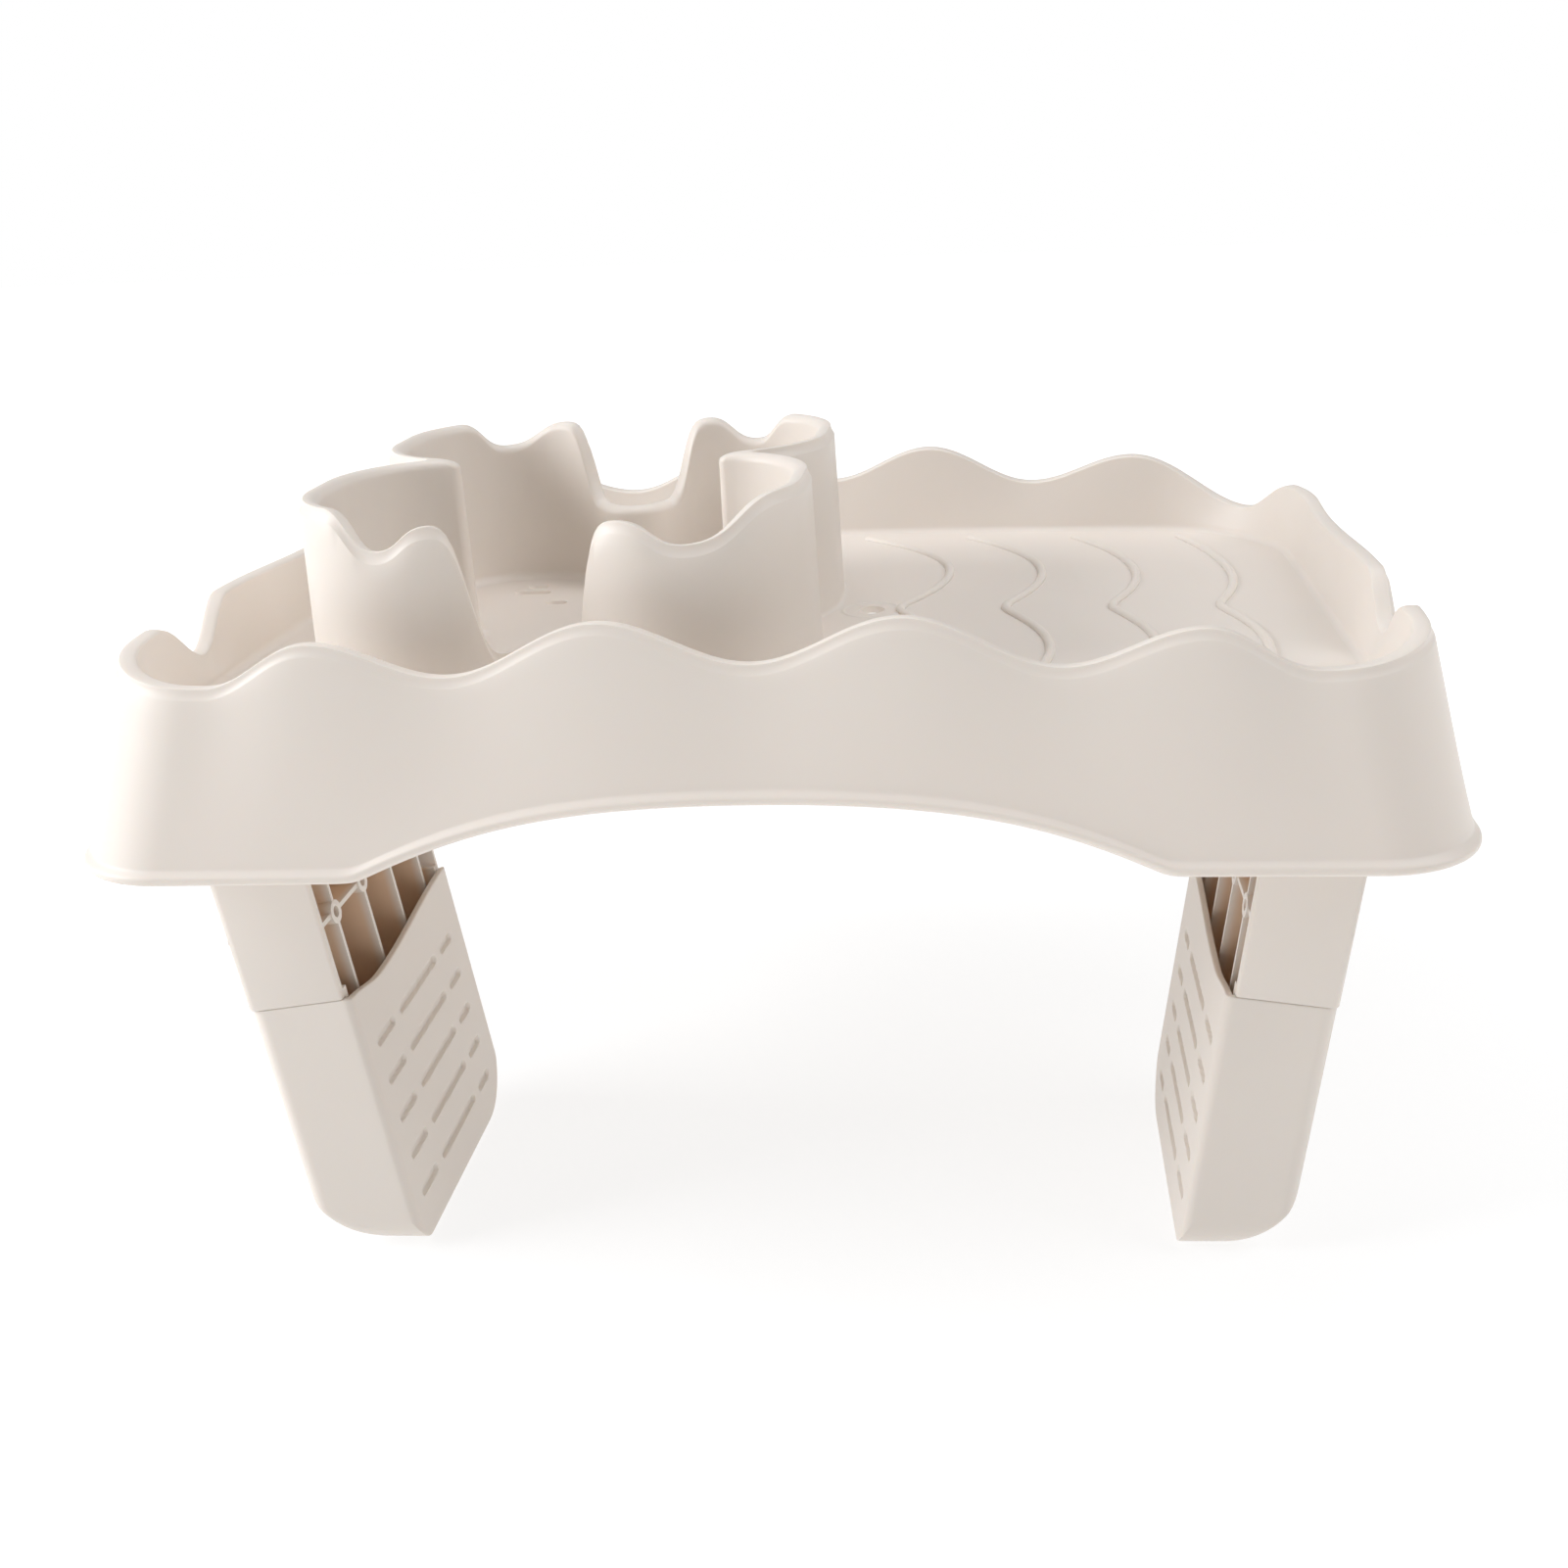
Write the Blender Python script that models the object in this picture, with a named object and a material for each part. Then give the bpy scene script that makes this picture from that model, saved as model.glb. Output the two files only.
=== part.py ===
import bpy
import bmesh
import numpy as np
from math import atan2, cos, hypot, pi, radians, sin, sqrt, tan
from mathutils import Matrix, Vector

for old in list(bpy.data.objects):
    bpy.data.objects.remove(old, do_unlink=True)

# Driving sizes, in metres. X runs along the length, Y away from the user, Z up from the feet.
LENGTH = 0.527
FRONT_REACH = 0.1920
BACK_REACH = 0.1980
FLARE = 0.0225
RIM_FRONT_RADIUS = 0.034
RIM_BACK_RADIUS = 0.072
FLANGE_FRONT_RADIUS = 0.042
FLANGE_BACK_RADIUS = 0.090
FRONT_BEND = 0.0015
BACK_BEND = 0.0150
FLANGE_HEIGHT = 0.1905
FLOOR_HEIGHT = 0.2375
FLOOR_THICKNESS = 0.003
BASIN_INSET = 0.0093
SKIN = 0.0028
BEAD_HEIGHT = 0.0060
BEAD_REACH = 0.0030
ARCH_RISE = 0.0267
ARCH_GAP = 0.0950
ARCH_POWER = 2.6

# The rim follows from the sizes above: half its length, and how far it lies in front and behind.
RIM_HALF_X = LENGTH / 2 - FLARE
RIM_FRONT_Y = -(FRONT_REACH - FLARE)
RIM_BACK_Y = BACK_REACH - FLARE
FLOOR_BOTTOM = FLOOR_HEIGHT - FLOOR_THICKNESS
ARCH_HALF_WIDTH = RIM_HALF_X - ARCH_GAP

# Heights of the waves along the rim, and their places as shares of the rim's own reach.
WAVE_SHARE = 0.4415
MIDDLE_CREST = 0.2816
OUTER_CREST = 0.2759
CORNER_PEAK = 0.2690
BACK_PEAK = 0.2675
MIDDLE_TROUGH = 0.2655
OUTER_TROUGH = 0.2627
LAST_TROUGH = 0.2602
BACK_CORNER_TROUGH = 0.2520
SIDE_TROUGH = 0.2500
SIDE_PLATEAU = 0.2688
LAST_TROUGH_SHARE = 0.831
FRONT_PEAK_SHARE = 0.726
FRONT_TROUGH_SHARE = 0.518
PLATEAU_FRONT_SHARE = 0.345
PLATEAU_BACK_SHARE = 0.137
BACK_TROUGH_SHARE = 0.370
BACK_PEAK_SHARE = 0.667
WAVE_PITCH = RIM_HALF_X * WAVE_SHARE

# Cup ring, placed by its gaps to the rim at the left and in front.
RING_END_GAP = 0.0557
RING_FRONT_GAP = 0.0336
LOBE_X = 0.0507
LOBE_NEAR_Y = 0.0445
LOBE_FAR_Y = 0.0632
LOBE_OUTER_RADIUS = 0.0491
RING_X = -RIM_HALF_X + RING_END_GAP + LOBE_X + LOBE_OUTER_RADIUS
RING_Y = RIM_FRONT_Y + RING_FRONT_GAP + LOBE_FAR_Y + LOBE_OUTER_RADIUS
RING_WALL = 0.006
RING_DRAFT = 0.0015
RING_SKIN = 0.0022
CUSP_OUTER_FILLET = 0.003
CUSP_INNER_FILLET = 0.004
NOTCH_FILLET = 0.010
RING_TOP = 0.3158
FRONT_CREST = 0.3095
FRONT_DIP = 0.3005
FRONT_LIP = 0.2565
BACK_CREST = 0.3143
BACK_DIP = 0.3035
BACK_LIP = 0.2773

# Distances along the wall of the ring from the middle of a notch.
LIP_REACH = 0.0095
CREST_REACH = 0.0423
DIP_REACH = 0.0680
PLATEAU_REACH = 0.0860

# The front notch lies a little to the left: its lip the most, its crests less.
LIP_SHIFT = 0.0090
CREST_SHIFT = 0.0035

# Floor details, placed by their gaps to the ring and to the wall of the basin.
RIDGE_COUNT = 4
DRAIN_GAP = 0.0168
FIRST_RIDGE_GAP = 0.0129
LAST_RIDGE_GAP = 0.0452
RIDGE_END_GAP = 0.0178
RIDGE_OFFSET = 0.0025
RIDGE_RADIUS = 0.0018
RIDGE_HEIGHT = 0.0015
DRAIN_DIAMETER = 0.012
SLOT_WIDTH = 0.0050
LONG_SLOT = 0.018
SHORT_SLOT = 0.010
SLOT_ROW = 0.020
SLOT_STEP = 0.011
SLOT_ASIDE = 0.0165
MIDDLE_Y = (RIM_FRONT_Y + RIM_BACK_Y) / 2 + RIDGE_OFFSET
DRAIN_X = RING_X + LOBE_X + LOBE_OUTER_RADIUS + DRAIN_GAP
FIRST_RIDGE_X = DRAIN_X + FIRST_RIDGE_GAP
LAST_RIDGE_X = RIM_HALF_X - BASIN_INSET - LAST_RIDGE_GAP
RIDGE_PITCH = (LAST_RIDGE_X - FIRST_RIDGE_X) / (RIDGE_COUNT - 1)
RIDGE_REACH = (RIM_BACK_Y - RIM_FRONT_Y) / 2 - BASIN_INSET - RIDGE_END_GAP

# Legs, sleeves and screws.
LEAN = radians(7.91)
LEG_END_GAP = 0.1020
LEG_THICKNESS = 0.041
LEG_FRONT_GAP = 0.0266
LEG_DEPTH = 0.1320
LEG_WALL = 0.003
RIB = 0.002
RIB_COUNT = 4
END_POCKET = 0.0150
CROSS_RIB_Z = 0.1510
CROSS_BOSS_RADIUS = 0.005
CROSS_HOLE_RADIUS = 0.0025
SLEEVE_TOP = 0.1198
SLEEVE_WALL = 0.003
PANEL_REACH = 0.0035
FOOT_OUTER_RADIUS = 0.030
FOOT_END_RADIUS = 0.013
FIT = 0.0003
BOSS_HEIGHT = 0.0063
PLATE_THICKNESS = 0.003
PLATE_TAB = 0.014
BOSS_RADIUS = 0.0045
SHANK_RADIUS = 0.0017
HEAD_RADIUS = 0.0040
HEAD_HEIGHT = 0.0026
GROOVE_ROWS = 5
GROOVE_DROP = 0.0268
GROOVE_PITCH = 0.0182
GROOVE_WIDTH = 0.0034
GROOVE_DEPTH = 0.0009
LONG_GROOVE = 0.056
SHORT_GROOVE = 0.014
GROOVE_GAP = 0.0085
LEG_FOOT_X = LENGTH / 2 - LEG_END_GAP
LEG_FRONT_Y = RIM_FRONT_Y + LEG_FRONT_GAP
LEG_BACK_Y = LEG_FRONT_Y + LEG_DEPTH
PLATE_TOP = FLOOR_BOTTOM - BOSS_HEIGHT

# The screws stand in two pairs, at these shares of the leg's thickness.
INNER_SCREW_SHARE = 0.02
OUTER_SCREW_SHARE = 0.60

# Fineness of the curves.
FRONT_STEPS = 21
CORNER_STEPS = 7
SIDE_STEPS = 17
BACK_CORNER_STEPS = 9
BACK_STEPS = 17

model = bpy.data.collections.new("hot_tub_tray")
bpy.context.scene.collection.children.link(model)


# Basic tools.
def make_object(name, verts, faces):
    mesh = bpy.data.meshes.new(name)
    mesh.from_pydata([tuple(v) for v in verts], [], faces)
    mesh.update()
    obj = bpy.data.objects.new(name, mesh)
    model.objects.link(obj)
    tidy(obj)
    return obj


def tidy(obj):
    work = bmesh.new()
    work.from_mesh(obj.data)
    bmesh.ops.remove_doubles(work, verts=work.verts, dist=1e-6)
    bmesh.ops.dissolve_degenerate(work, edges=work.edges, dist=1e-6)
    bmesh.ops.recalc_face_normals(work, faces=work.faces)
    work.to_mesh(obj.data)
    work.free()


def combine(base, tool, operation):
    step = base.modifiers.new("step", "BOOLEAN")
    step.operation = operation
    step.solver = "EXACT"
    step.object = tool
    graph = bpy.context.evaluated_depsgraph_get()
    result = bpy.data.meshes.new_from_object(base.evaluated_get(graph))
    base.modifiers.clear()
    base.data = result
    bpy.data.objects.remove(tool, do_unlink=True)
    tidy(base)
    return base


def loft_loop(name, sections):
    count = len(sections)
    size = len(sections[0])
    verts = [p for section in sections for p in section]
    faces = []
    for i in range(count):
        j = (i + 1) % count
        for k in range(size):
            m = (k + 1) % size
            faces.append((i * size + k, j * size + k, j * size + m, i * size + m))
    return make_object(name, verts, faces)


def loft_open(name, sections):
    count = len(sections)
    size = len(sections[0])
    verts = [p for section in sections for p in section]
    faces = [tuple(range(size))[::-1], tuple((count - 1) * size + k for k in range(size))]
    for i in range(count - 1):
        for k in range(size):
            m = (k + 1) % size
            faces.append((i * size + k, (i + 1) * size + k, (i + 1) * size + m, i * size + m))
    return make_object(name, verts, faces)


def prism(name, outline, low, high, axis):
    sections = []
    for level in (low, high):
        if axis == "x":
            sections.append([(level, a, b) for a, b in outline])
        elif axis == "y":
            sections.append([(a, level, b) for a, b in outline])
        else:
            sections.append([(a, b, level) for a, b in outline])
    return loft_open(name, sections)


def box(name, low, high):
    outline = [(low[0], low[1]), (high[0], low[1]), (high[0], high[1]), (low[0], high[1])]
    return prism(name, outline, low[2], high[2], "z")


def round_outline(corners, steps=6):
    # Each corner is given as a place and a radius; the corners are joined by straight lines.
    outline = []
    count = len(corners)
    for i in range(count):
        x, y, radius = corners[i]
        before = Vector(corners[i - 1][:2]) - Vector((x, y))
        after = Vector(corners[(i + 1) % count][:2]) - Vector((x, y))
        if radius <= 0:
            outline.append((x, y))
            continue
        before.normalize()
        after.normalize()
        half = before.angle(after) / 2
        reach = radius / tan(half)
        centre = Vector((x, y)) + (before + after).normalized() * (radius / sin(half))
        start = Vector((x, y)) + before * reach - centre
        end = Vector((x, y)) + after * reach - centre
        first = atan2(start.y, start.x)
        turn = atan2(end.y, end.x) - first
        turn = (turn + pi) % (2 * pi) - pi
        for s in range(steps + 1):
            angle = first + turn * s / steps
            outline.append((centre.x + radius * cos(angle), centre.y + radius * sin(angle)))
    return outline


def circle_outline(x, y, radius, steps=16):
    return [(x + radius * cos(2 * pi * s / steps), y + radius * sin(2 * pi * s / steps)) for s in range(steps)]


def cylinder(name, x, y, radius, low, high, steps=16):
    return prism(name, circle_outline(x, y, radius, steps), low, high, "z")


def move(obj, matrix):
    obj.data.transform(matrix)
    if matrix.determinant() < 0:
        obj.data.flip_normals()
    return obj


def finish(obj, name, colour, metallic, roughness):
    obj.name = name
    obj.data.name = name
    material = bpy.data.materials.new(name)
    material.use_nodes = True
    shader = material.node_tree.nodes["Principled BSDF"]
    shader.inputs["Base Color"].default_value = colour
    shader.inputs["Metallic"].default_value = metallic
    shader.inputs["Roughness"].default_value = roughness
    material.diffuse_color = colour
    obj.data.materials.clear()
    obj.data.materials.append(material)
    return obj


# Plan of the rim, the flange and the floor: one rounded rectangle with gently bent long sides.
def plan_path(grow, half_x, front_y, back_y, front_radius, back_radius):
    half_x = half_x + grow
    front_y = front_y - grow
    back_y = back_y + grow
    front_radius = front_radius + grow
    back_radius = back_radius + grow
    right = []
    for s in range(FRONT_STEPS):
        right.append(((half_x - front_radius) * s / FRONT_STEPS, front_y))
    for s in range(CORNER_STEPS):
        angle = -pi / 2 + pi / 2 * s / CORNER_STEPS
        x = half_x - front_radius + front_radius * cos(angle)
        right.append((x, front_y + front_radius + front_radius * sin(angle)))
    low = front_y + front_radius
    high = back_y - back_radius
    for s in range(SIDE_STEPS):
        right.append((half_x, low + (high - low) * s / SIDE_STEPS))
    for s in range(BACK_CORNER_STEPS):
        angle = pi / 2 * s / BACK_CORNER_STEPS
        x = half_x - back_radius + back_radius * cos(angle)
        right.append((x, high + back_radius * sin(angle)))
    for s in range(BACK_STEPS + 1):
        right.append(((half_x - back_radius) * (1 - s / BACK_STEPS), back_y))
    left = [(-x, y) for x, y in right[1:-1]]
    points = np.array(right + left[::-1])
    share = (np.abs(points[:, 0]) / half_x) ** 2
    forward = np.clip(-points[:, 1] / abs(front_y) * 1.6, 0, 1)
    rearward = np.clip(points[:, 1] / abs(back_y) * 1.6, 0, 1)
    forward = forward * forward * (3 - 2 * forward)
    rearward = rearward * rearward * (3 - 2 * rearward)
    points[:, 1] -= share * (FRONT_BEND * forward + BACK_BEND * rearward)
    return points


def rim_path(grow):
    return plan_path(grow, RIM_HALF_X, RIM_FRONT_Y, RIM_BACK_Y, RIM_FRONT_RADIUS, RIM_BACK_RADIUS)


def flange_path(grow):
    return plan_path(grow, LENGTH / 2, -FRONT_REACH, BACK_REACH, FLANGE_FRONT_RADIUS, FLANGE_BACK_RADIUS)


def wave_heights():
    # The crests and troughs are set along the path and joined by half cosine waves.
    path = rim_path(0)
    side = RIM_HALF_X
    right = [
        (0, RIM_FRONT_Y, MIDDLE_TROUGH),
        (WAVE_PITCH * 0.5, RIM_FRONT_Y, MIDDLE_CREST),
        (WAVE_PITCH * 1.05, RIM_FRONT_Y, OUTER_TROUGH),
        (WAVE_PITCH * 1.5, RIM_FRONT_Y, OUTER_CREST),
        (side * LAST_TROUGH_SHARE, RIM_FRONT_Y, LAST_TROUGH),
        (side, RIM_FRONT_Y * FRONT_PEAK_SHARE, CORNER_PEAK),
        (side, RIM_FRONT_Y * FRONT_TROUGH_SHARE, SIDE_TROUGH),
        (side, RIM_FRONT_Y * PLATEAU_FRONT_SHARE, SIDE_PLATEAU),
        (side, RIM_BACK_Y * PLATEAU_BACK_SHARE, SIDE_PLATEAU),
        (side, RIM_BACK_Y * BACK_TROUGH_SHARE, SIDE_TROUGH),
        (side * 0.98, RIM_BACK_Y * BACK_PEAK_SHARE, BACK_PEAK),
        (side * 0.895, RIM_BACK_Y * 0.836, BACK_CORNER_TROUGH),
        (WAVE_PITCH * 1.5, RIM_BACK_Y, OUTER_CREST),
        (WAVE_PITCH * 1.0, RIM_BACK_Y, OUTER_TROUGH),
        (WAVE_PITCH * 0.49, RIM_BACK_Y, MIDDLE_CREST),
        (0, RIM_BACK_Y, MIDDLE_TROUGH),
    ]
    steps = np.linalg.norm(np.diff(path, axis=0, append=path[:1]), axis=1)
    travel = np.concatenate([[0], np.cumsum(steps)[:-1]])
    half = len(path) // 2
    knots = []
    for x, y, z in right:
        near = np.argmin(np.hypot(path[:half + 1, 0] - x, path[:half + 1, 1] - y))
        knots.append((travel[near], z))
    total = steps.sum()
    knots = knots + [(total - s, z) for s, z in knots[-2::-1]]
    heights = np.zeros(len(path))
    for (s0, z0), (s1, z1) in zip(knots[:-1], knots[1:]):
        inside = (travel >= s0 - 1e-9) & (travel <= s1 + 1e-9)
        share = (travel[inside] - s0) / (s1 - s0)
        heights[inside] = z0 + (z1 - z0) * (0.5 - 0.5 * np.cos(pi * share))
    return heights


def bottom_heights(path):
    share = np.clip(np.abs(path[:, 0]) / ARCH_HALF_WIDTH, 0, 1)
    rise = ARCH_RISE * (1 - share ** ARCH_POWER)
    return FLANGE_HEIGHT + np.where(np.abs(path[:, 0]) < ARCH_HALF_WIDTH, rise, 0)


# Rim: the flared skirt, the rounded wavy top and the basin wall, hollow from below.
def build_rim():
    top = wave_heights()
    edge = RING_WALL / 2
    skirt_top = rim_path(edge)
    skirt_foot = flange_path(-BEAD_REACH)
    low = bottom_heights(rim_path(0))
    sections = []
    levels = {}
    for name, grow in (("outer", edge), ("outer_round", edge * 0.7), ("middle", 0), ("inner_round", -edge * 0.7),
                       ("inner", -edge), ("apex_out", 0.0010), ("apex_in", -0.0010), ("foot", -BASIN_INSET),
                       ("foot_back", -BASIN_INSET + SKIN)):
        levels[name] = rim_path(grow)
    out = skirt_foot - rim_path(0)
    out = out / np.linalg.norm(out, axis=1)[:, None]
    for i in range(len(top)):
        peak = top[i]
        start = np.array([*skirt_top[i], peak - edge])
        end = np.array([*skirt_foot[i], FLANGE_HEIGHT])

        def on_skirt(z, shift):
            share = (start[2] - z) / (start[2] - end[2])
            place = start[:2] + (end[:2] - start[:2]) * share + out[i] * shift
            return (place[0], place[1], z)

        base = low[i]
        section = [
            on_skirt(base, -SKIN),
            on_skirt(base, 0),
            on_skirt(base + 0.12 * BEAD_HEIGHT, 0.75 * BEAD_REACH),
            on_skirt(base + 0.5 * BEAD_HEIGHT, BEAD_REACH),
            on_skirt(base + 0.88 * BEAD_HEIGHT, 0.75 * BEAD_REACH),
            on_skirt(base + 1.05 * BEAD_HEIGHT, 0),
            (*levels["outer"][i], peak - edge),
            (*levels["outer_round"][i], peak - 0.3 * edge),
            (*levels["middle"][i], peak),
            (*levels["inner_round"][i], peak - 0.3 * edge),
            (*levels["inner"][i], peak - edge),
            (*levels["foot"][i], FLOOR_BOTTOM - 0.001),
            (*levels["foot_back"][i], FLOOR_BOTTOM - 0.001),
            (*levels["apex_in"][i], peak - 3 * edge),
            (*levels["apex_out"][i], peak - 3 * edge),
        ]
        sections.append(section)
    return loft_loop("tray", sections)


# Cup ring: four lobes with a pointed cusp at each side and an open notch in front and behind.
def ring_quadrant(grow, cusp_fillet, notch_fillet):
    radius = LOBE_OUTER_RADIUS + grow
    cusp_x = LOBE_X + sqrt((radius + cusp_fillet) ** 2 - LOBE_NEAR_Y ** 2)
    notch_y = LOBE_FAR_Y + sqrt((radius + notch_fillet) ** 2 - LOBE_X ** 2)
    points = []
    lead = atan2(-LOBE_NEAR_Y, cusp_x - LOBE_X)
    for s in range(4):
        angle = pi + lead * s / 4
        points.append((cusp_x + cusp_fillet * cos(angle), cusp_fillet * sin(angle)))
    for s in range(8):
        angle = lead * (1 - s / 8)
        points.append((LOBE_X + radius * cos(angle), LOBE_NEAR_Y + radius * sin(angle)))
    last = atan2(notch_y - LOBE_FAR_Y, -LOBE_X)
    for s in range(13):
        angle = last * s / 13
        points.append((LOBE_X + radius * cos(angle), LOBE_FAR_Y + radius * sin(angle)))
    first = last - pi
    for s in range(6):
        angle = first + (-pi / 2 - first) * s / 6
        points.append((notch_fillet * cos(angle), notch_y + notch_fillet * sin(angle)))
    points.append((0, notch_y - notch_fillet))
    return points


def ring_path(grow, cusp_fillet, notch_fillet):
    quarter = ring_quadrant(grow, cusp_fillet, notch_fillet)
    half = quarter + [(-x, y) for x, y in quarter[-2::-1]]
    full = half + [(x, -y) for x, y in half[-2:0:-1]]
    return np.array(full) + np.array([RING_X, RING_Y])


def ring_heights():
    # Level from the cusp round the side of each lobe, then a dip, a crest and the low lip of the notch.
    path = ring_path(0, CUSP_OUTER_FILLET, NOTCH_FILLET)
    quarter = len(ring_quadrant(0, CUSP_OUTER_FILLET, NOTCH_FILLET))
    steps = np.linalg.norm(np.diff(path[:quarter], axis=0), axis=1)
    travel = np.concatenate([[0], np.cumsum(steps)])
    end = travel[-1]

    def quarter_heights(lip, crest, dip, lip_reach, crest_reach):
        knots = [
            (0, RING_TOP),
            (end - PLATEAU_REACH, RING_TOP),
            (end - DIP_REACH, dip),
            (end - crest_reach, crest),
            (end - lip_reach, lip),
            (end, lip),
        ]
        heights = np.zeros(quarter)
        for (s0, z0), (s1, z1) in zip(knots[:-1], knots[1:]):
            inside = (travel >= s0 - 1e-9) & (travel <= s1 + 1e-9)
            share = (travel[inside] - s0) / (s1 - s0)
            heights[inside] = z0 + (z1 - z0) * (0.5 - 0.5 * np.cos(pi * share))
        return list(heights)

    back = quarter_heights(BACK_LIP, BACK_CREST, BACK_DIP, LIP_REACH, CREST_REACH)
    left = quarter_heights(FRONT_LIP, FRONT_CREST, FRONT_DIP, LIP_REACH + LIP_SHIFT, CREST_REACH + CREST_SHIFT)
    right = quarter_heights(FRONT_LIP, FRONT_CREST, FRONT_DIP, LIP_REACH - LIP_SHIFT, CREST_REACH - CREST_SHIFT)
    return np.array(back + back[-2::-1] + left[1:] + right[-2:0:-1])


def build_ring():
    top = ring_heights()
    edge = RING_WALL / 2
    foot = FLOOR_HEIGHT - FLOOR_THICKNESS / 2
    inner_fillet = NOTCH_FILLET + RING_WALL
    draft = RING_DRAFT
    outer_foot = ring_path(draft, CUSP_OUTER_FILLET - draft, NOTCH_FILLET - draft)
    outer = ring_path(0, CUSP_OUTER_FILLET, NOTCH_FILLET)
    inner = ring_path(-RING_WALL, CUSP_INNER_FILLET, inner_fillet)
    inner_foot = ring_path(-RING_WALL - draft, CUSP_INNER_FILLET + draft, inner_fillet + draft)
    sections = []
    for i in range(len(top)):
        peak = top[i]
        across = inner[i] - outer[i]
        sections.append([
            (*outer_foot[i], foot),
            (*outer[i], peak - edge),
            (*(outer[i] + 0.15 * across), peak - 0.3 * edge),
            (*(outer[i] + 0.5 * across), peak),
            (*(outer[i] + 0.85 * across), peak - 0.3 * edge),
            (*inner[i], peak - edge),
            (*inner_foot[i], foot),
        ])
    return loft_loop("ring", sections)


def build_ring_hollow():
    top = ring_heights()
    low = FLOOR_BOTTOM - 0.002
    skin = RING_SKIN
    wide = RING_WALL + RING_DRAFT - skin
    outer_foot = ring_path(RING_DRAFT - skin, CUSP_OUTER_FILLET - RING_DRAFT + skin, NOTCH_FILLET - RING_DRAFT + skin)
    inner_foot = ring_path(-wide, CUSP_INNER_FILLET + RING_DRAFT - skin, NOTCH_FILLET + wide)
    outer_top = ring_path(-skin, CUSP_OUTER_FILLET + skin, NOTCH_FILLET + skin)
    inner_top = ring_path(-RING_WALL + skin, CUSP_INNER_FILLET - skin, NOTCH_FILLET + RING_WALL - skin)
    sections = []
    for i in range(len(top)):
        sections.append([
            (*outer_foot[i], low),
            (*outer_top[i], top[i] - 1.2 * RING_WALL),
            (*inner_top[i], top[i] - 1.2 * RING_WALL),
            (*inner_foot[i], low),
        ])
    return loft_loop("ring_hollow", sections)


# Floor, ridges and drains.
def build_floor():
    outline = rim_path(-BASIN_INSET + SKIN / 2)
    return prism("floor", [tuple(p) for p in outline], FLOOR_BOTTOM, FLOOR_HEIGHT, "z")


def build_ridge(index):
    # Two scallops that bulge to the right and meet in a soft point at the middle.
    tip = FIRST_RIDGE_X + RIDGE_PITCH * index
    reach = RIDGE_REACH * (1 - 0.012 * index)
    bulge = RIDGE_REACH * (0.143 - 0.0205 * index)
    drop = RIDGE_REACH * (0.245 - 0.062 * index)
    widest = RIDGE_REACH * (0.420 - 0.025 * index)
    soft = 0.008
    sections = []
    steps = 18
    for s in range(steps + 1):
        y = reach * (2 * s / steps - 1)
        away = hypot(y, soft) - soft
        if away < widest:
            x = tip + bulge * (1 - (1 - away / widest) ** 2)
        else:
            x = tip + bulge - (bulge + drop) * ((away - widest) / (reach - widest)) ** 2
        shift = (-FRONT_BEND - BACK_BEND) / 2 * (x / RIM_HALF_X) ** 2
        sections.append((x, MIDDLE_Y + y + shift))
    middle = FLOOR_HEIGHT + RIDGE_HEIGHT - RIDGE_RADIUS
    rings = []
    for s, (x, y) in enumerate(sections):
        ahead = sections[min(s + 1, steps)]
        behind = sections[max(s - 1, 0)]
        along = Vector((ahead[0] - behind[0], ahead[1] - behind[1])).normalized()
        side = Vector((along.y, -along.x))
        ring = []
        for k in range(6):
            angle = 2 * pi * (k + 0.5) / 6 - pi / 2
            ring.append((x + side.x * RIDGE_RADIUS * cos(angle), y + side.y * RIDGE_RADIUS * cos(angle),
                         middle + RIDGE_RADIUS * sin(angle)))
        rings.append(ring)
    return loft_open("ridge", rings)


def slot_outline(x, y, length, width, steps=4):
    # A straight slot along the first direction, with round ends.
    half = (length - width) / 2
    outline = []
    for s in range(steps + 1):
        angle = -pi / 2 + pi * s / steps
        outline.append((x + half + width / 2 * cos(angle), y + width / 2 * sin(angle)))
    for s in range(steps + 1):
        angle = pi / 2 + pi * s / steps
        outline.append((x - half + width / 2 * cos(angle), y + width / 2 * sin(angle)))
    return outline


def drain_slot(x, y, length):
    outline = slot_outline(x, y, length, SLOT_WIDTH)
    return prism("slot", outline, FLOOR_BOTTOM - 0.002, FLOOR_HEIGHT + 0.002, "z")


def screw_places():
    places = []
    inner = LEG_FOOT_X + tan(LEAN) * PLATE_TOP
    for side in (-1, 1):
        for y in (LEG_FRONT_Y - PLATE_TAB / 2, LEG_BACK_Y + PLATE_TAB / 2):
            for share in (INNER_SCREW_SHARE, OUTER_SCREW_SHARE):
                places.append((side * (inner + LEG_THICKNESS * share), y))
    return places


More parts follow.
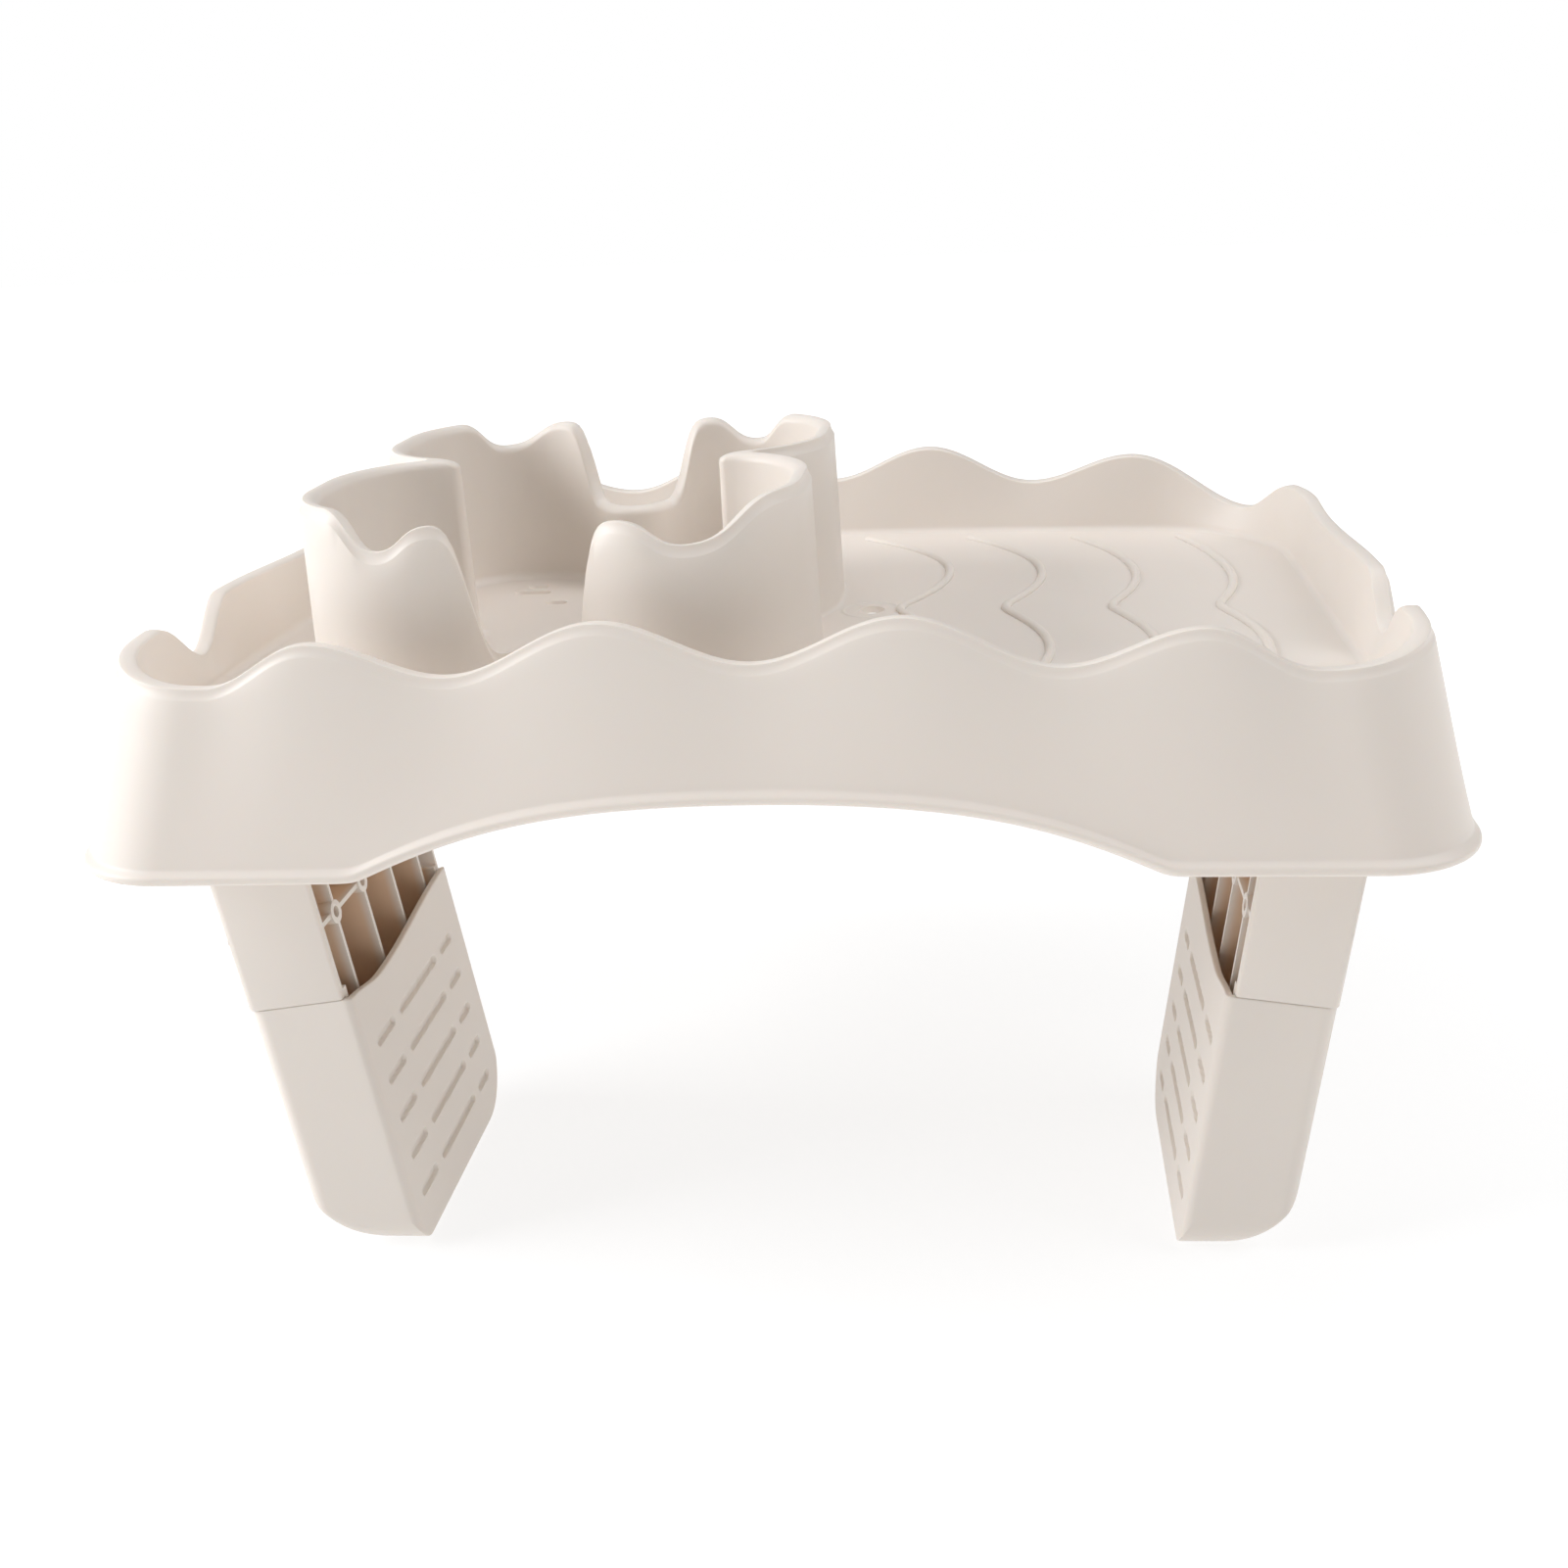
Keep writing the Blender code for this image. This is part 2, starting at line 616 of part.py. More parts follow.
def build_tray():
    tray = build_rim()
    combine(tray, build_floor(), "UNION")
    combine(tray, build_ring(), "UNION")
    for index in range(RIDGE_COUNT):
        combine(tray, build_ridge(index), "UNION")
    for x, y in screw_places():
        boss = cylinder("boss", x, y, BOSS_RADIUS, PLATE_TOP + FIT, FLOOR_BOTTOM + 0.001, 14)
        combine(tray, boss, "UNION")
    combine(tray, build_ring_hollow(), "DIFFERENCE")
    hole = cylinder("hole", DRAIN_X, MIDDLE_Y, DRAIN_DIAMETER / 2, FLOOR_BOTTOM - 0.002, FLOOR_HEIGHT + 0.002, 20)
    combine(tray, hole, "DIFFERENCE")
    for across in (-1, 1):
        for along in (-1, 1):
            x = RING_X + across * LOBE_X
            y = RING_Y + along * (LOBE_NEAR_Y + LOBE_FAR_Y) / 2
            combine(tray, drain_slot(x, y + along * SLOT_ROW, LONG_SLOT), "DIFFERENCE")
            combine(tray, drain_slot(x, y + along * (SLOT_ROW + SLOT_STEP), SHORT_SLOT), "DIFFERENCE")
            combine(tray, drain_slot(x - across * SLOT_ASIDE, y, SHORT_SLOT), "DIFFERENCE")
    for x, y in screw_places():
        pilot = cylinder("pilot", x, y, SHANK_RADIUS + FIT, PLATE_TOP - 0.001, FLOOR_BOTTOM + 0.001, 10)
        combine(tray, pilot, "DIFFERENCE")
    return tray


# Legs and sleeves are drawn upright for the right side, leant outwards and mirrored for the left.
def lean_matrix():
    return Matrix.Translation((LEG_FOOT_X, 0, 0)) @ Matrix.Rotation(LEAN, 4, "Y")


def foot_profile(inner, outer, raise_by, radius, top):
    # The foot line is tilted back by the lean, so that the foot stands flat.
    slope = tan(LEAN)
    lift = raise_by / cos(LEAN)
    inner_z = inner * slope + lift
    outer_z = outer * slope + lift
    return round_outline([(inner, inner_z, 0.002), (outer, outer_z, radius), (outer, top, 0), (inner, top, 0)])


def end_profile(front, back, raise_by, radius, top):
    # Seen along X, in the frame of the leg, with both lower corners rounded.
    return round_outline([(front, raise_by, radius), (back, raise_by, radius), (back, top, 0), (front, top, 0)])


def shaft(name, inner, outer, front, back, raise_by, top, corner):
    radius = FOOT_OUTER_RADIUS - (SLEEVE_WALL if raise_by > 0 else 0)
    end_radius = FOOT_END_RADIUS - (SLEEVE_WALL if raise_by > 0 else 0)
    body = prism(name, foot_profile(inner, outer, raise_by, radius, top), front, back, "y")
    ends = prism("ends", end_profile(front - 1e-4, back + 1e-4, raise_by - 1e-4, end_radius, top + 0.001),
                 inner - 0.01, outer + 0.01, "x")
    combine(body, ends, "INTERSECT")
    if corner > 0:
        outline = round_outline([(inner - 1e-4, front - 1e-4, corner), (outer + 1e-4, front - 1e-4, corner / 2),
                                 (outer + 1e-4, back + 1e-4, corner / 2), (inner - 1e-4, back + 1e-4, corner / 2)])
        combine(body, prism("plan", outline, -0.02, top + 0.002, "z"), "INTERSECT")
    return body


def build_leg():
    sunk = SLEEVE_WALL + FIT
    high = PLATE_TOP + 0.018
    leg = shaft("leg", 0, LEG_THICKNESS - sunk, LEG_FRONT_Y + sunk, LEG_BACK_Y - sunk, sunk, high, 0)
    upper = prism("upper", round_outline([(0, LEG_FRONT_Y, 0.0015), (LEG_THICKNESS, LEG_FRONT_Y, 0.004),
                                          (LEG_THICKNESS, LEG_BACK_Y, 0.004), (0, LEG_BACK_Y, 0.0015)], 4),
                  SLEEVE_TOP + FIT, high, "z")
    combine(leg, upper, "UNION")
    deep = LEG_THICKNESS - sunk - LEG_WALL
    lower_hollow = prism("hollow", foot_profile(-0.01, deep, sunk + LEG_WALL, FOOT_OUTER_RADIUS - 2 * SLEEVE_WALL,
                                                SLEEVE_TOP - 0.004),
                         LEG_FRONT_Y + sunk + LEG_WALL, LEG_BACK_Y - sunk - LEG_WALL, "y")
    combine(leg, lower_hollow, "DIFFERENCE")
    upper_hollow = box("hollow", (-0.01, LEG_FRONT_Y + LEG_WALL, SLEEVE_TOP + 0.004),
                       (LEG_THICKNESS - LEG_WALL, LEG_BACK_Y - LEG_WALL, high + 0.01))
    combine(leg, upper_hollow, "DIFFERENCE")
    joint_hollow = box("hollow", (-0.01, LEG_FRONT_Y + sunk + LEG_WALL, SLEEVE_TOP - 0.010),
                       (deep, LEG_BACK_Y - sunk - LEG_WALL, SLEEVE_TOP + 0.010))
    combine(leg, joint_hollow, "DIFFERENCE")
    clear = LEG_BACK_Y - LEG_FRONT_Y - 2 * LEG_WALL - RIB_COUNT * RIB - 2 * END_POCKET
    wide = clear / (RIB_COUNT - 1)
    places = [LEG_FRONT_Y + LEG_WALL + END_POCKET + RIB / 2 + k * (wide + RIB) for k in range(RIB_COUNT)]
    for y in places:
        rib = prism("rib", foot_profile(0.001, LEG_THICKNESS - sunk - 0.001, sunk + 0.001,
                                        FOOT_OUTER_RADIUS - SLEEVE_WALL - 0.001, high - 0.001),
                    y - RIB / 2, y + RIB / 2, "y")
        combine(leg, rib, "UNION")
    cross = box("cross", (0.0015, LEG_FRONT_Y + 0.001, CROSS_RIB_Z - RIB / 2),
                (LEG_THICKNESS - 0.001, LEG_BACK_Y - 0.001, CROSS_RIB_Z + RIB / 2))
    combine(leg, cross, "UNION")
    for y in places:
        boss = prism("boss", circle_outline(y, CROSS_RIB_Z, CROSS_BOSS_RADIUS, 14), 0.0008, LEG_THICKNESS - 0.0008, "x")
        combine(leg, boss, "UNION")
    for y in places:
        bore = prism("bore", circle_outline(y, CROSS_RIB_Z, CROSS_HOLE_RADIUS, 10), -0.001,
                     LEG_THICKNESS - LEG_WALL, "x")
        combine(leg, bore, "DIFFERENCE")
    move(leg, lean_matrix())
    top_cut = box("cut", (0, -LENGTH, PLATE_TOP - PLATE_THICKNESS / 2), (LENGTH, LENGTH, 2 * PLATE_TOP))
    combine(leg, top_cut, "DIFFERENCE")
    inner = LEG_FOOT_X + tan(LEAN) * PLATE_TOP
    plate = prism("plate", round_outline([(inner - 0.006, LEG_FRONT_Y - PLATE_TAB, 0.005),
                                          (inner + LEG_THICKNESS + 0.001, LEG_FRONT_Y - PLATE_TAB, 0.005),
                                          (inner + LEG_THICKNESS + 0.001, LEG_BACK_Y + PLATE_TAB, 0.005),
                                          (inner - 0.006, LEG_BACK_Y + PLATE_TAB, 0.005)], 4),
                  PLATE_TOP - PLATE_THICKNESS, PLATE_TOP, "z")
    combine(leg, plate, "UNION")
    for x, y in screw_places():
        if x > 0:
            bore = cylinder("bore", x, y, SHANK_RADIUS + 2 * FIT, PLATE_TOP - 0.01, PLATE_TOP + 0.01, 12)
            combine(leg, bore, "DIFFERENCE")
    return leg


def groove(middle_y, middle_z, length):
    outline = slot_outline(middle_y, middle_z, length, GROOVE_WIDTH)
    return prism("groove", outline, -PANEL_REACH - 0.001, -PANEL_REACH + GROOVE_DEPTH, "x")


def build_sleeve():
    face = -PANEL_REACH
    sleeve = shaft("sleeve", face, LEG_THICKNESS, LEG_FRONT_Y, LEG_BACK_Y, 0, SLEEVE_TOP, 0.007)
    hollow = shaft("hollow", face + SLEEVE_WALL, LEG_THICKNESS - SLEEVE_WALL, LEG_FRONT_Y + SLEEVE_WALL,
                   LEG_BACK_Y - SLEEVE_WALL, SLEEVE_WALL, SLEEVE_TOP + 0.01, 0)
    combine(sleeve, hollow, "DIFFERENCE")
    middle = (LEG_FRONT_Y + LEG_BACK_Y) / 2
    first = SLEEVE_TOP - GROOVE_DROP
    aside = (LONG_GROOVE + SHORT_GROOVE) / 2 + GROOVE_GAP
    for row in range(GROOVE_ROWS):
        z = first - row * GROOVE_PITCH
        combine(sleeve, groove(middle, z, LONG_GROOVE), "DIFFERENCE")
        combine(sleeve, groove(middle - aside, z, SHORT_GROOVE), "DIFFERENCE")
        combine(sleeve, groove(middle + aside, z, SHORT_GROOVE), "DIFFERENCE")
    move(sleeve, lean_matrix())
    return sleeve


def mirrored(obj, name):
    twin = bpy.data.objects.new(name, obj.data.copy())
    model.objects.link(twin)
    move(twin, Matrix.Scale(-1, 4, (1, 0, 0)))
    return twin


def build_screw(x, y):
    # Pan head below the plate, shank up into the boss.
    seat = PLATE_TOP - PLATE_THICKNESS - FIT
    profile = [(0.0001, seat - HEAD_HEIGHT), (HEAD_RADIUS * 0.6, seat - HEAD_HEIGHT),
               (HEAD_RADIUS * 0.92, seat - HEAD_HEIGHT * 0.6), (HEAD_RADIUS, seat), (SHANK_RADIUS, seat),
               (SHANK_RADIUS, FLOOR_BOTTOM - 0.0015), (SHANK_RADIUS * 0.4, FLOOR_BOTTOM), (0.0001, FLOOR_BOTTOM)]
    steps = 8
    sections = []
    for radius, z in profile:
        sections.append([(x + radius * cos(2 * pi * s / steps), y + radius * sin(2 * pi * s / steps), z)
                         for s in range(steps)])
    return loft_open("screw", sections)


# The whole tray: one moulded body, two legs, two sleeves and eight screws.
IVORY = (0.80, 0.74, 0.66, 1)
finish(build_tray(), "tray", IVORY, 0.0, 0.45)
right_leg = build_leg()
left_leg = mirrored(right_leg, "left_leg")
finish(right_leg, "right_leg", IVORY, 0.0, 0.45)
finish(left_leg, "left_leg", IVORY, 0.0, 0.45)
right_sleeve = build_sleeve()
left_sleeve = mirrored(right_sleeve, "left_sleeve")
finish(right_sleeve, "right_sleeve", IVORY, 0.0, 0.45)
finish(left_sleeve, "left_sleeve", IVORY, 0.0, 0.45)
for number, (x, y) in enumerate(screw_places()):
    side = "left" if x < 0 else "right"
    screw = build_screw(x, y)
    finish(screw, "screw_" + side + "_" + str(number % 4 + 1), (0.62, 0.62, 0.60, 1), 1.0, 0.3)
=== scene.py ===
from math import atan2, cos, pi, radians, sin, sqrt, tan

import bpy
import bmesh
import numpy as np
from mathutils import Matrix, Vector


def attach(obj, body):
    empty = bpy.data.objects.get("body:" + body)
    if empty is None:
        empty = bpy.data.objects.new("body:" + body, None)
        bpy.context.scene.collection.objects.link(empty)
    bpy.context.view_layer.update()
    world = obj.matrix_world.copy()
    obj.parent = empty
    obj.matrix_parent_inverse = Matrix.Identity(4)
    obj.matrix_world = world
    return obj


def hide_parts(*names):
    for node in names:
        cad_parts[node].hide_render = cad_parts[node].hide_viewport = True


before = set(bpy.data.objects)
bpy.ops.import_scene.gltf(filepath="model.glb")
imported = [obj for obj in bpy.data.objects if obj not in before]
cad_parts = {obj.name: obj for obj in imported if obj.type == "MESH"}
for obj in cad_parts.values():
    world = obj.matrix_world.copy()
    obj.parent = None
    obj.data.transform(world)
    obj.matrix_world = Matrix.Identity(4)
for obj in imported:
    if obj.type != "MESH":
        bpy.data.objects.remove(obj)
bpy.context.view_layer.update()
print("packed frame loaded")


# small helpers for surfaces
def smoothStep(t):  # 0 to 1 with level ends: three t squared less two t cubed
    t = np.clip(t, 0, 1)
    return t * t * (3 - 2 * t)


def halfWave(places, heights, along, steepness=0):
    # joins neighbouring heights by half a cosine wave each
    # a sine taken off the share makes the flanks steeper
    result = np.full(len(along), float(heights[0]))
    for i, steep in enumerate(np.broadcast_to(steepness, len(places) - 1)):
        share = np.clip((along - places[i]) / (places[i + 1] - places[i]), 0, 1)
        share = share - steep * np.sin(2 * pi * share)
        rise = heights[i] + (heights[i + 1] - heights[i]) * (0.5 - 0.5 * np.cos(pi * share))
        result = np.where(along >= places[i], rise, result)
    return result


def normalsOf(path):  # outward normal of a closed path that runs anticlockwise, from its neighbours
    ahead = np.roll(path, -1, axis=0) - np.roll(path, 1, axis=0)
    side = np.stack([ahead[:, 1], -ahead[:, 0]], axis=1)
    return side / np.linalg.norm(side, axis=1)[:, None]


def withZ(path, z):
    return np.column_stack([path, np.zeros(len(path)) + z])


def gridFaces(rows, columns, wrapRows, wrapColumns):  # the four corners of each cell, all cells at once
    r = np.arange(rows if wrapRows else rows - 1)
    c = np.arange(columns if wrapColumns else columns - 1)
    a, b = np.meshgrid(r, c, indexing="ij")
    a2 = (a + 1) % rows
    b2 = (b + 1) % columns
    cells = np.stack([a * columns + b, a2 * columns + b, a2 * columns + b2, a * columns + b2], axis=-1)
    return cells.reshape(-1, 4).tolist()


def putMesh(name, points, faces, sharpAngle=35):
    # doubles are merged and the faces turned outwards before the edges are softened
    mesh = bpy.data.meshes.new(name)
    mesh.from_pydata(points.tolist(), [], faces)
    work = bmesh.new()
    work.from_mesh(mesh)
    bmesh.ops.remove_doubles(work, verts=work.verts, dist=1e-7)
    bmesh.ops.recalc_face_normals(work, faces=work.faces)
    work.to_mesh(mesh)
    work.free()
    soften(mesh, sharpAngle)
    piece = bpy.data.objects.new(name, mesh)
    bpy.context.scene.collection.objects.link(piece)
    return piece


def soften(mesh, sharpAngle):
    mesh.polygons.foreach_set("use_smooth", np.ones(len(mesh.polygons), bool))
    mesh.set_sharp_from_angle(angle=radians(sharpAngle))


def ringLoft(name, layers, sharpAngle=35):  # layers: one closed path per point of the profile
    points = np.stack(layers, axis=1)
    rows, columns = points.shape[:2]
    return putMesh(name, points.reshape(-1, 3), gridFaces(rows, columns, True, True), sharpAngle)


def shellLoft(name, layers, sharpAngle=35):  # closed paths stacked from one end cap to the other
    points = np.stack(layers, axis=0)
    rows, columns = points.shape[:2]
    faces = gridFaces(rows, columns, False, True)
    faces += [list(range(columns))[::-1], [(rows - 1) * columns + k for k in range(columns)]]
    return putMesh(name, points.reshape(-1, 3), faces, sharpAngle)


def circleAt(x, y, radius, steps=48):
    turn = np.linspace(0, 2 * pi, steps, endpoint=False)
    return np.column_stack([x + radius * np.cos(turn), y + radius * np.sin(turn)])


def latheRing(name, x, y, profile, steps=48, sharpAngle=40):  # profile of radius and height, spun round Z
    return ringLoft(name, [withZ(circleAt(x, y, r, steps), z) for r, z in profile], sharpAngle)


def plateFrom(name, outline, low, high):
    return shellLoft(name, [withZ(outline, low), withZ(outline, high)])


def takeOut(piece, cutters):  # takes the cutters out of the piece, then drops them
    for cutter in cutters:
        step = piece.modifiers.new("cut", "BOOLEAN")
        step.operation = "DIFFERENCE"
        step.solver = "EXACT"
        step.object = cutter
    applySteps(piece)
    for cutter in cutters:
        bpy.data.objects.remove(cutter, do_unlink=True)
    return piece


def applySteps(piece):
    graph = bpy.context.evaluated_depsgraph_get()
    result = bpy.data.meshes.new_from_object(piece.evaluated_get(graph))
    piece.modifiers.clear()
    piece.data = result
    soften(piece.data, 35)


def dress(piece, material, body=None, replaced=()):
    piece.data.materials.clear()
    piece.data.materials.append(material)
    if body:
        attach(piece, body)
    if replaced:
        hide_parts(*replaced)
    return piece


def setInputs(node, values):
    for name, value in values.items():
        node.inputs[name].default_value = value


# materials: ivory moulded plastic and the steel of the screws
ivoryLook = {
    "base": (0.800, 0.735, 0.672),
    "drift": 0.975,
    "driftSize": 9.0,
    "driftDetail": 3.0,
    "driftPlaces": (0.30, 0.75),
    "roughness": 0.44,
    "roughnessSpread": (-0.04, 0.06),
    "grainSize": 2400,
    "grainDetail": 2.0,
    "grainDepth": 0.00003,
    "grainStrength": 0.18,
    "ior": 1.49,
    "glow": 0.15,
    "glowRadius": (0.006, 0.004, 0.0025),
    "glowScale": 0.5,
    # warm brown painted into the legs' pockets as shade, and the soft edges of that painted shade
    "pocketShadeColour": (0.780, 0.575, 0.410),
    "pocketShadeFades": (0.005, 0.0005, 0.0008),
}


def ivoryPlastic(name, grain=1.0, rough=0.0, shadedPockets=None):
    # the last argument gives (near, far, front, back), in metres: between these places of its frame the leg
    # gets a warm painted shade, standing in for the shade and warm bounce light deep in its pockets
    look = ivoryLook
    material = bpy.data.materials.new(name)
    material.use_nodes = True
    tree = material.node_tree
    shader = tree.nodes["Principled BSDF"]
    place = tree.nodes.new("ShaderNodeTexCoord")
    cloud = tree.nodes.new("ShaderNodeTexNoise")  # slow drift of tone, as in moulded plastic
    setInputs(cloud, {"Scale": look["driftSize"], "Detail": look["driftDetail"]})
    tone = tree.nodes.new("ShaderNodeValToRGB")
    for stop, position, share in zip(tone.color_ramp.elements, look["driftPlaces"], (1, look["drift"])):
        stop.position = position
        stop.color = tuple(c * share for c in look["base"]) + (1,)
    speck = tree.nodes.new("ShaderNodeTexNoise")  # fine texture of the mould
    setInputs(speck, {"Scale": look["grainSize"], "Detail": look["grainDetail"]})
    gloss = tree.nodes.new("ShaderNodeMapRange")
    smoothest, roughest = (look["roughness"] + spread + rough for spread in look["roughnessSpread"])
    setInputs(gloss, {"To Min": smoothest, "To Max": roughest})
    bump = tree.nodes.new("ShaderNodeBump")
    setInputs(bump, {"Strength": look["grainStrength"] * grain, "Distance": look["grainDepth"]})
    tree.links.new(place.outputs["Object"], cloud.inputs["Vector"])
    tree.links.new(place.outputs["Object"], speck.inputs["Vector"])
    tree.links.new(cloud.outputs["Fac"], tone.inputs["Fac"])
    colour = tone.outputs["Color"]
    # warm painted shade inside the pockets, mixed into the base colour
    if shadedPockets:
        colour = paintPocketShade(tree, place.outputs["Object"], colour, shadedPockets)
    tree.links.new(colour, shader.inputs["Base Color"])
    tree.links.new(cloud.outputs["Fac"], gloss.inputs["Value"])
    tree.links.new(gloss.outputs["Result"], shader.inputs["Roughness"])
    tree.links.new(speck.outputs["Fac"], bump.inputs["Height"])
    tree.links.new(bump.outputs["Normal"], shader.inputs["Normal"])
    setInputs(shader, {"IOR": look["ior"], "Subsurface Weight": look["glow"],
                       "Subsurface Radius": look["glowRadius"], "Subsurface Scale": look["glowScale"]})
    return material


def paintPocketShade(tree, place, colour, shadedPockets):
    # depth from the open side is cos(lean) times (|x| less the foot's place), less sin(lean) times z
    # the painted pocket shade is the product of four soft steps: at the open side, the wall behind, the front
    # and the back; where it is full, the base colour gives way to a warm painted brown
    near, far, front, back = shadedPockets
    nearFade, farFade, endFade = ivoryLook["pocketShadeFades"]

    def worked(kind, a, b=None):
        node = tree.nodes.new("ShaderNodeMath")
        node.operation = kind
        for socket, value in zip(node.inputs, (a, b)):
            if isinstance(value, float):
                socket.default_value = value
            elif value is not None:
                tree.links.new(value, socket)
        return node.outputs["Value"]

    def ramp(value, start, end):
        node = tree.nodes.new("ShaderNodeMapRange")
        node.interpolation_type = "SMOOTHSTEP"
        tree.links.new(value, node.inputs["Value"])
        setInputs(node, {"From Min": start, "From Max": end})
        return node.outputs["Result"]

    split = tree.nodes.new("ShaderNodeSeparateXYZ")
    tree.links.new(place, split.inputs["Vector"])
    lean = legShape["lean"]
    out = worked("MULTIPLY", worked("SUBTRACT", worked("ABSOLUTE", split.outputs["X"]), legFootX), cos(lean))
    depth = worked("SUBTRACT", out, worked("MULTIPLY", split.outputs["Z"], sin(lean)))
    y = split.outputs["Y"]
    inside = worked("MULTIPLY", ramp(depth, near, near + nearFade), ramp(depth, far + farFade, far))
    inside = worked("MULTIPLY", inside, ramp(y, front, front + endFade))
    inside = worked("MULTIPLY", inside, ramp(y, back, back - endFade))
    mix = tree.nodes.new("ShaderNodeMix")
    mix.data_type = "RGBA"
    tree.links.new(inside, mix.inputs["Factor"])
    tree.links.new(colour, mix.inputs["A"])
    mix.inputs["B"].default_value = (*ivoryLook["pocketShadeColour"], 1)
    return mix.outputs["Result"]


steelLook = {"colour": (0.60, 0.60, 0.58, 1), "scratchSize": 900.0, "smoothest": 0.22, "roughest": 0.38}


def screwSteel(name):
    material = bpy.data.materials.new(name)
    material.use_nodes = True
    tree = material.node_tree
    shader = tree.nodes["Principled BSDF"]
    place = tree.nodes.new("ShaderNodeTexCoord")
    scratch = tree.nodes.new("ShaderNodeTexNoise")
    setInputs(scratch, {"Scale": steelLook["scratchSize"]})
    gloss = tree.nodes.new("ShaderNodeMapRange")
    setInputs(gloss, {"To Min": steelLook["smoothest"], "To Max": steelLook["roughest"]})
    tree.links.new(place.outputs["Object"], scratch.inputs["Vector"])
    tree.links.new(scratch.outputs["Fac"], gloss.inputs["Value"])
    tree.links.new(gloss.outputs["Result"], shader.inputs["Roughness"])
    setInputs(shader, {"Base Color": steelLook["colour"], "Metallic": 1.0})
    return material


trayPlastic = ivoryPlastic("trayPlastic")
sleevePlastic = ivoryPlastic("sleevePlastic", grain=1.4, rough=0.03)
steel = screwSteel("screwSteel")
print("materials made")


# tray: plan of the rim and the flange, in metres
trayShape = {
    "length": 0.527,
    "frontReach": 0.1920,
    "backReach": 0.1980,
    "flare": 0.0225,
    "rimFrontRadius": 0.034,
    "rimBackRadius": 0.072,
    "flangeFrontRadius": 0.042,
    "flangeBackRadius": 0.090,
    "frontBend": 0.0015,
    "backBend": 0.0150,
    "flangeHeight": 0.1905,
    "floorHeight": 0.2375,
    "floorThickness": 0.003,
    "basinInset": 0.0093,
    "skin": 0.0028,
    "rimOutside": 0.0038,
    "rimInside": 0.0042,
    "rimBand": 0.0016,
    "bandBow": 0.20,
    "rimDrop": 0.0040,
    "rimInnerHigh": 0.0013,
    "beadHeight": 0.0056,
    "beadReach": 0.0032,
    "beadBlend": 0.0032,
    "skirtFlare": 0.0009,
    "archRise": 0.0265,
    "archGap": 0.1040,
    "archPower": 2.8,
    "archSoftness": 0.0014,
    "skirtFade": 5,
    "lip": 0.0003,
    "lipShare": 0.6,
    "edge": 0.0002,
    "innerPower": 0.7,
    "innerGap": 0.0005,
    "floorFillet": 0.0035,
    "rootDepth": 0.0006,
    "rootUnder": 0.0010,
    "rootInside": 0.0004,
    "hollowDrop": 0.009,
    "hollowReach": (-0.0016, 0.0012),
    "bendSpread": 1.6,
    "planSteps": (84, 32, 68, 40, 68),
}
standSink = 0.00002  # how far what stands on the floor is let into it
rimHalfX = trayShape["length"] / 2 - trayShape["flare"]
rimFrontY = -(trayShape["frontReach"] - trayShape["flare"])
rimBackY = trayShape["backReach"] - trayShape["flare"]
floorTop = trayShape["floorHeight"]
floorUnder = floorTop - trayShape["floorThickness"]
archHalfWidth = rimHalfX - trayShape["archGap"]


def roundedPlan(halfX, frontY, backY, frontRadius, backRadius):
    # right half from the middle of the front to the middle of the back, then its mirror image
    frontSteps, cornerSteps, sideSteps, backCornerSteps, backSteps = trayShape["planSteps"]
    run = np.linspace(0, 1, frontSteps, endpoint=False)
    front = np.column_stack([(halfX - frontRadius) * run, np.full(len(run), frontY)])
    turn = -pi / 2 + pi / 2 * np.linspace(0, 1, cornerSteps, endpoint=False)
    corner = np.column_stack([halfX - frontRadius + frontRadius * np.cos(turn),
                              frontY + frontRadius + frontRadius * np.sin(turn)])
    run = np.linspace(0, 1, sideSteps, endpoint=False)
    low, high = frontY + frontRadius, backY - backRadius
    side = np.column_stack([np.full(len(run), halfX), low + (high - low) * run])
    turn = pi / 2 * np.linspace(0, 1, backCornerSteps, endpoint=False)
    backCorner = np.column_stack([halfX - backRadius + backRadius * np.cos(turn),
                                  high + backRadius * np.sin(turn)])
    run = np.linspace(0, 1, backSteps + 1)
    back = np.column_stack([(halfX - backRadius) * (1 - run), np.full(len(run), backY)])
    right = np.concatenate([front, corner, side, backCorner, back])
    left = right[1:-1][::-1] * np.array([-1, 1])
    path = np.concatenate([right, left])
    share = (np.abs(path[:, 0]) / halfX) ** 2
    forward = smoothStep(-path[:, 1] / abs(frontY) * trayShape["bendSpread"])
    rearward = smoothStep(path[:, 1] / abs(backY) * trayShape["bendSpread"])
    path[:, 1] -= share * (trayShape["frontBend"] * forward + trayShape["backBend"] * rearward)
    return path


def rimPlan():
    s = trayShape
    return roundedPlan(rimHalfX, rimFrontY, rimBackY, s["rimFrontRadius"], s["rimBackRadius"])


def flangePlan(grow):
    s = trayShape
    return roundedPlan(s["length"] / 2 + grow, -s["frontReach"] - grow, s["backReach"] + grow,
                       s["flangeFrontRadius"] + grow, s["flangeBackRadius"] + grow)


waveShape = {
    "pitch": 0.1064,
    "middleCrest": 0.2816,
    "outerCrest": 0.2759,
    "cornerPeak": 0.2690,
    "backPeak": 0.2675,
    "middleTrough": 0.2655,
    "outerTrough": 0.2627,
    "lastTrough": 0.2602,
    "backCornerTrough": 0.2520,
    "sideTrough": 0.2500,
    "sidePlateau": 0.2688,
    "backSideTrough": 0.2640,
    "lastTroughShare": 0.831,
    "frontPeakShare": 0.726,
    "frontTroughShare": 0.518,
    "plateauFrontShare": 0.345,
    "backTroughShare": 0.330,
    "backPeakShare": 0.667,
    "backCornerShare": 0.836,
    "backPeakAcross": 0.98,
    "backCornerAcross": 0.895,
    "crestPitches": (0.5, 0.49),
    "troughPitches": (1.05, 1.0),
    "outerCrestPitches": 1.5,
}


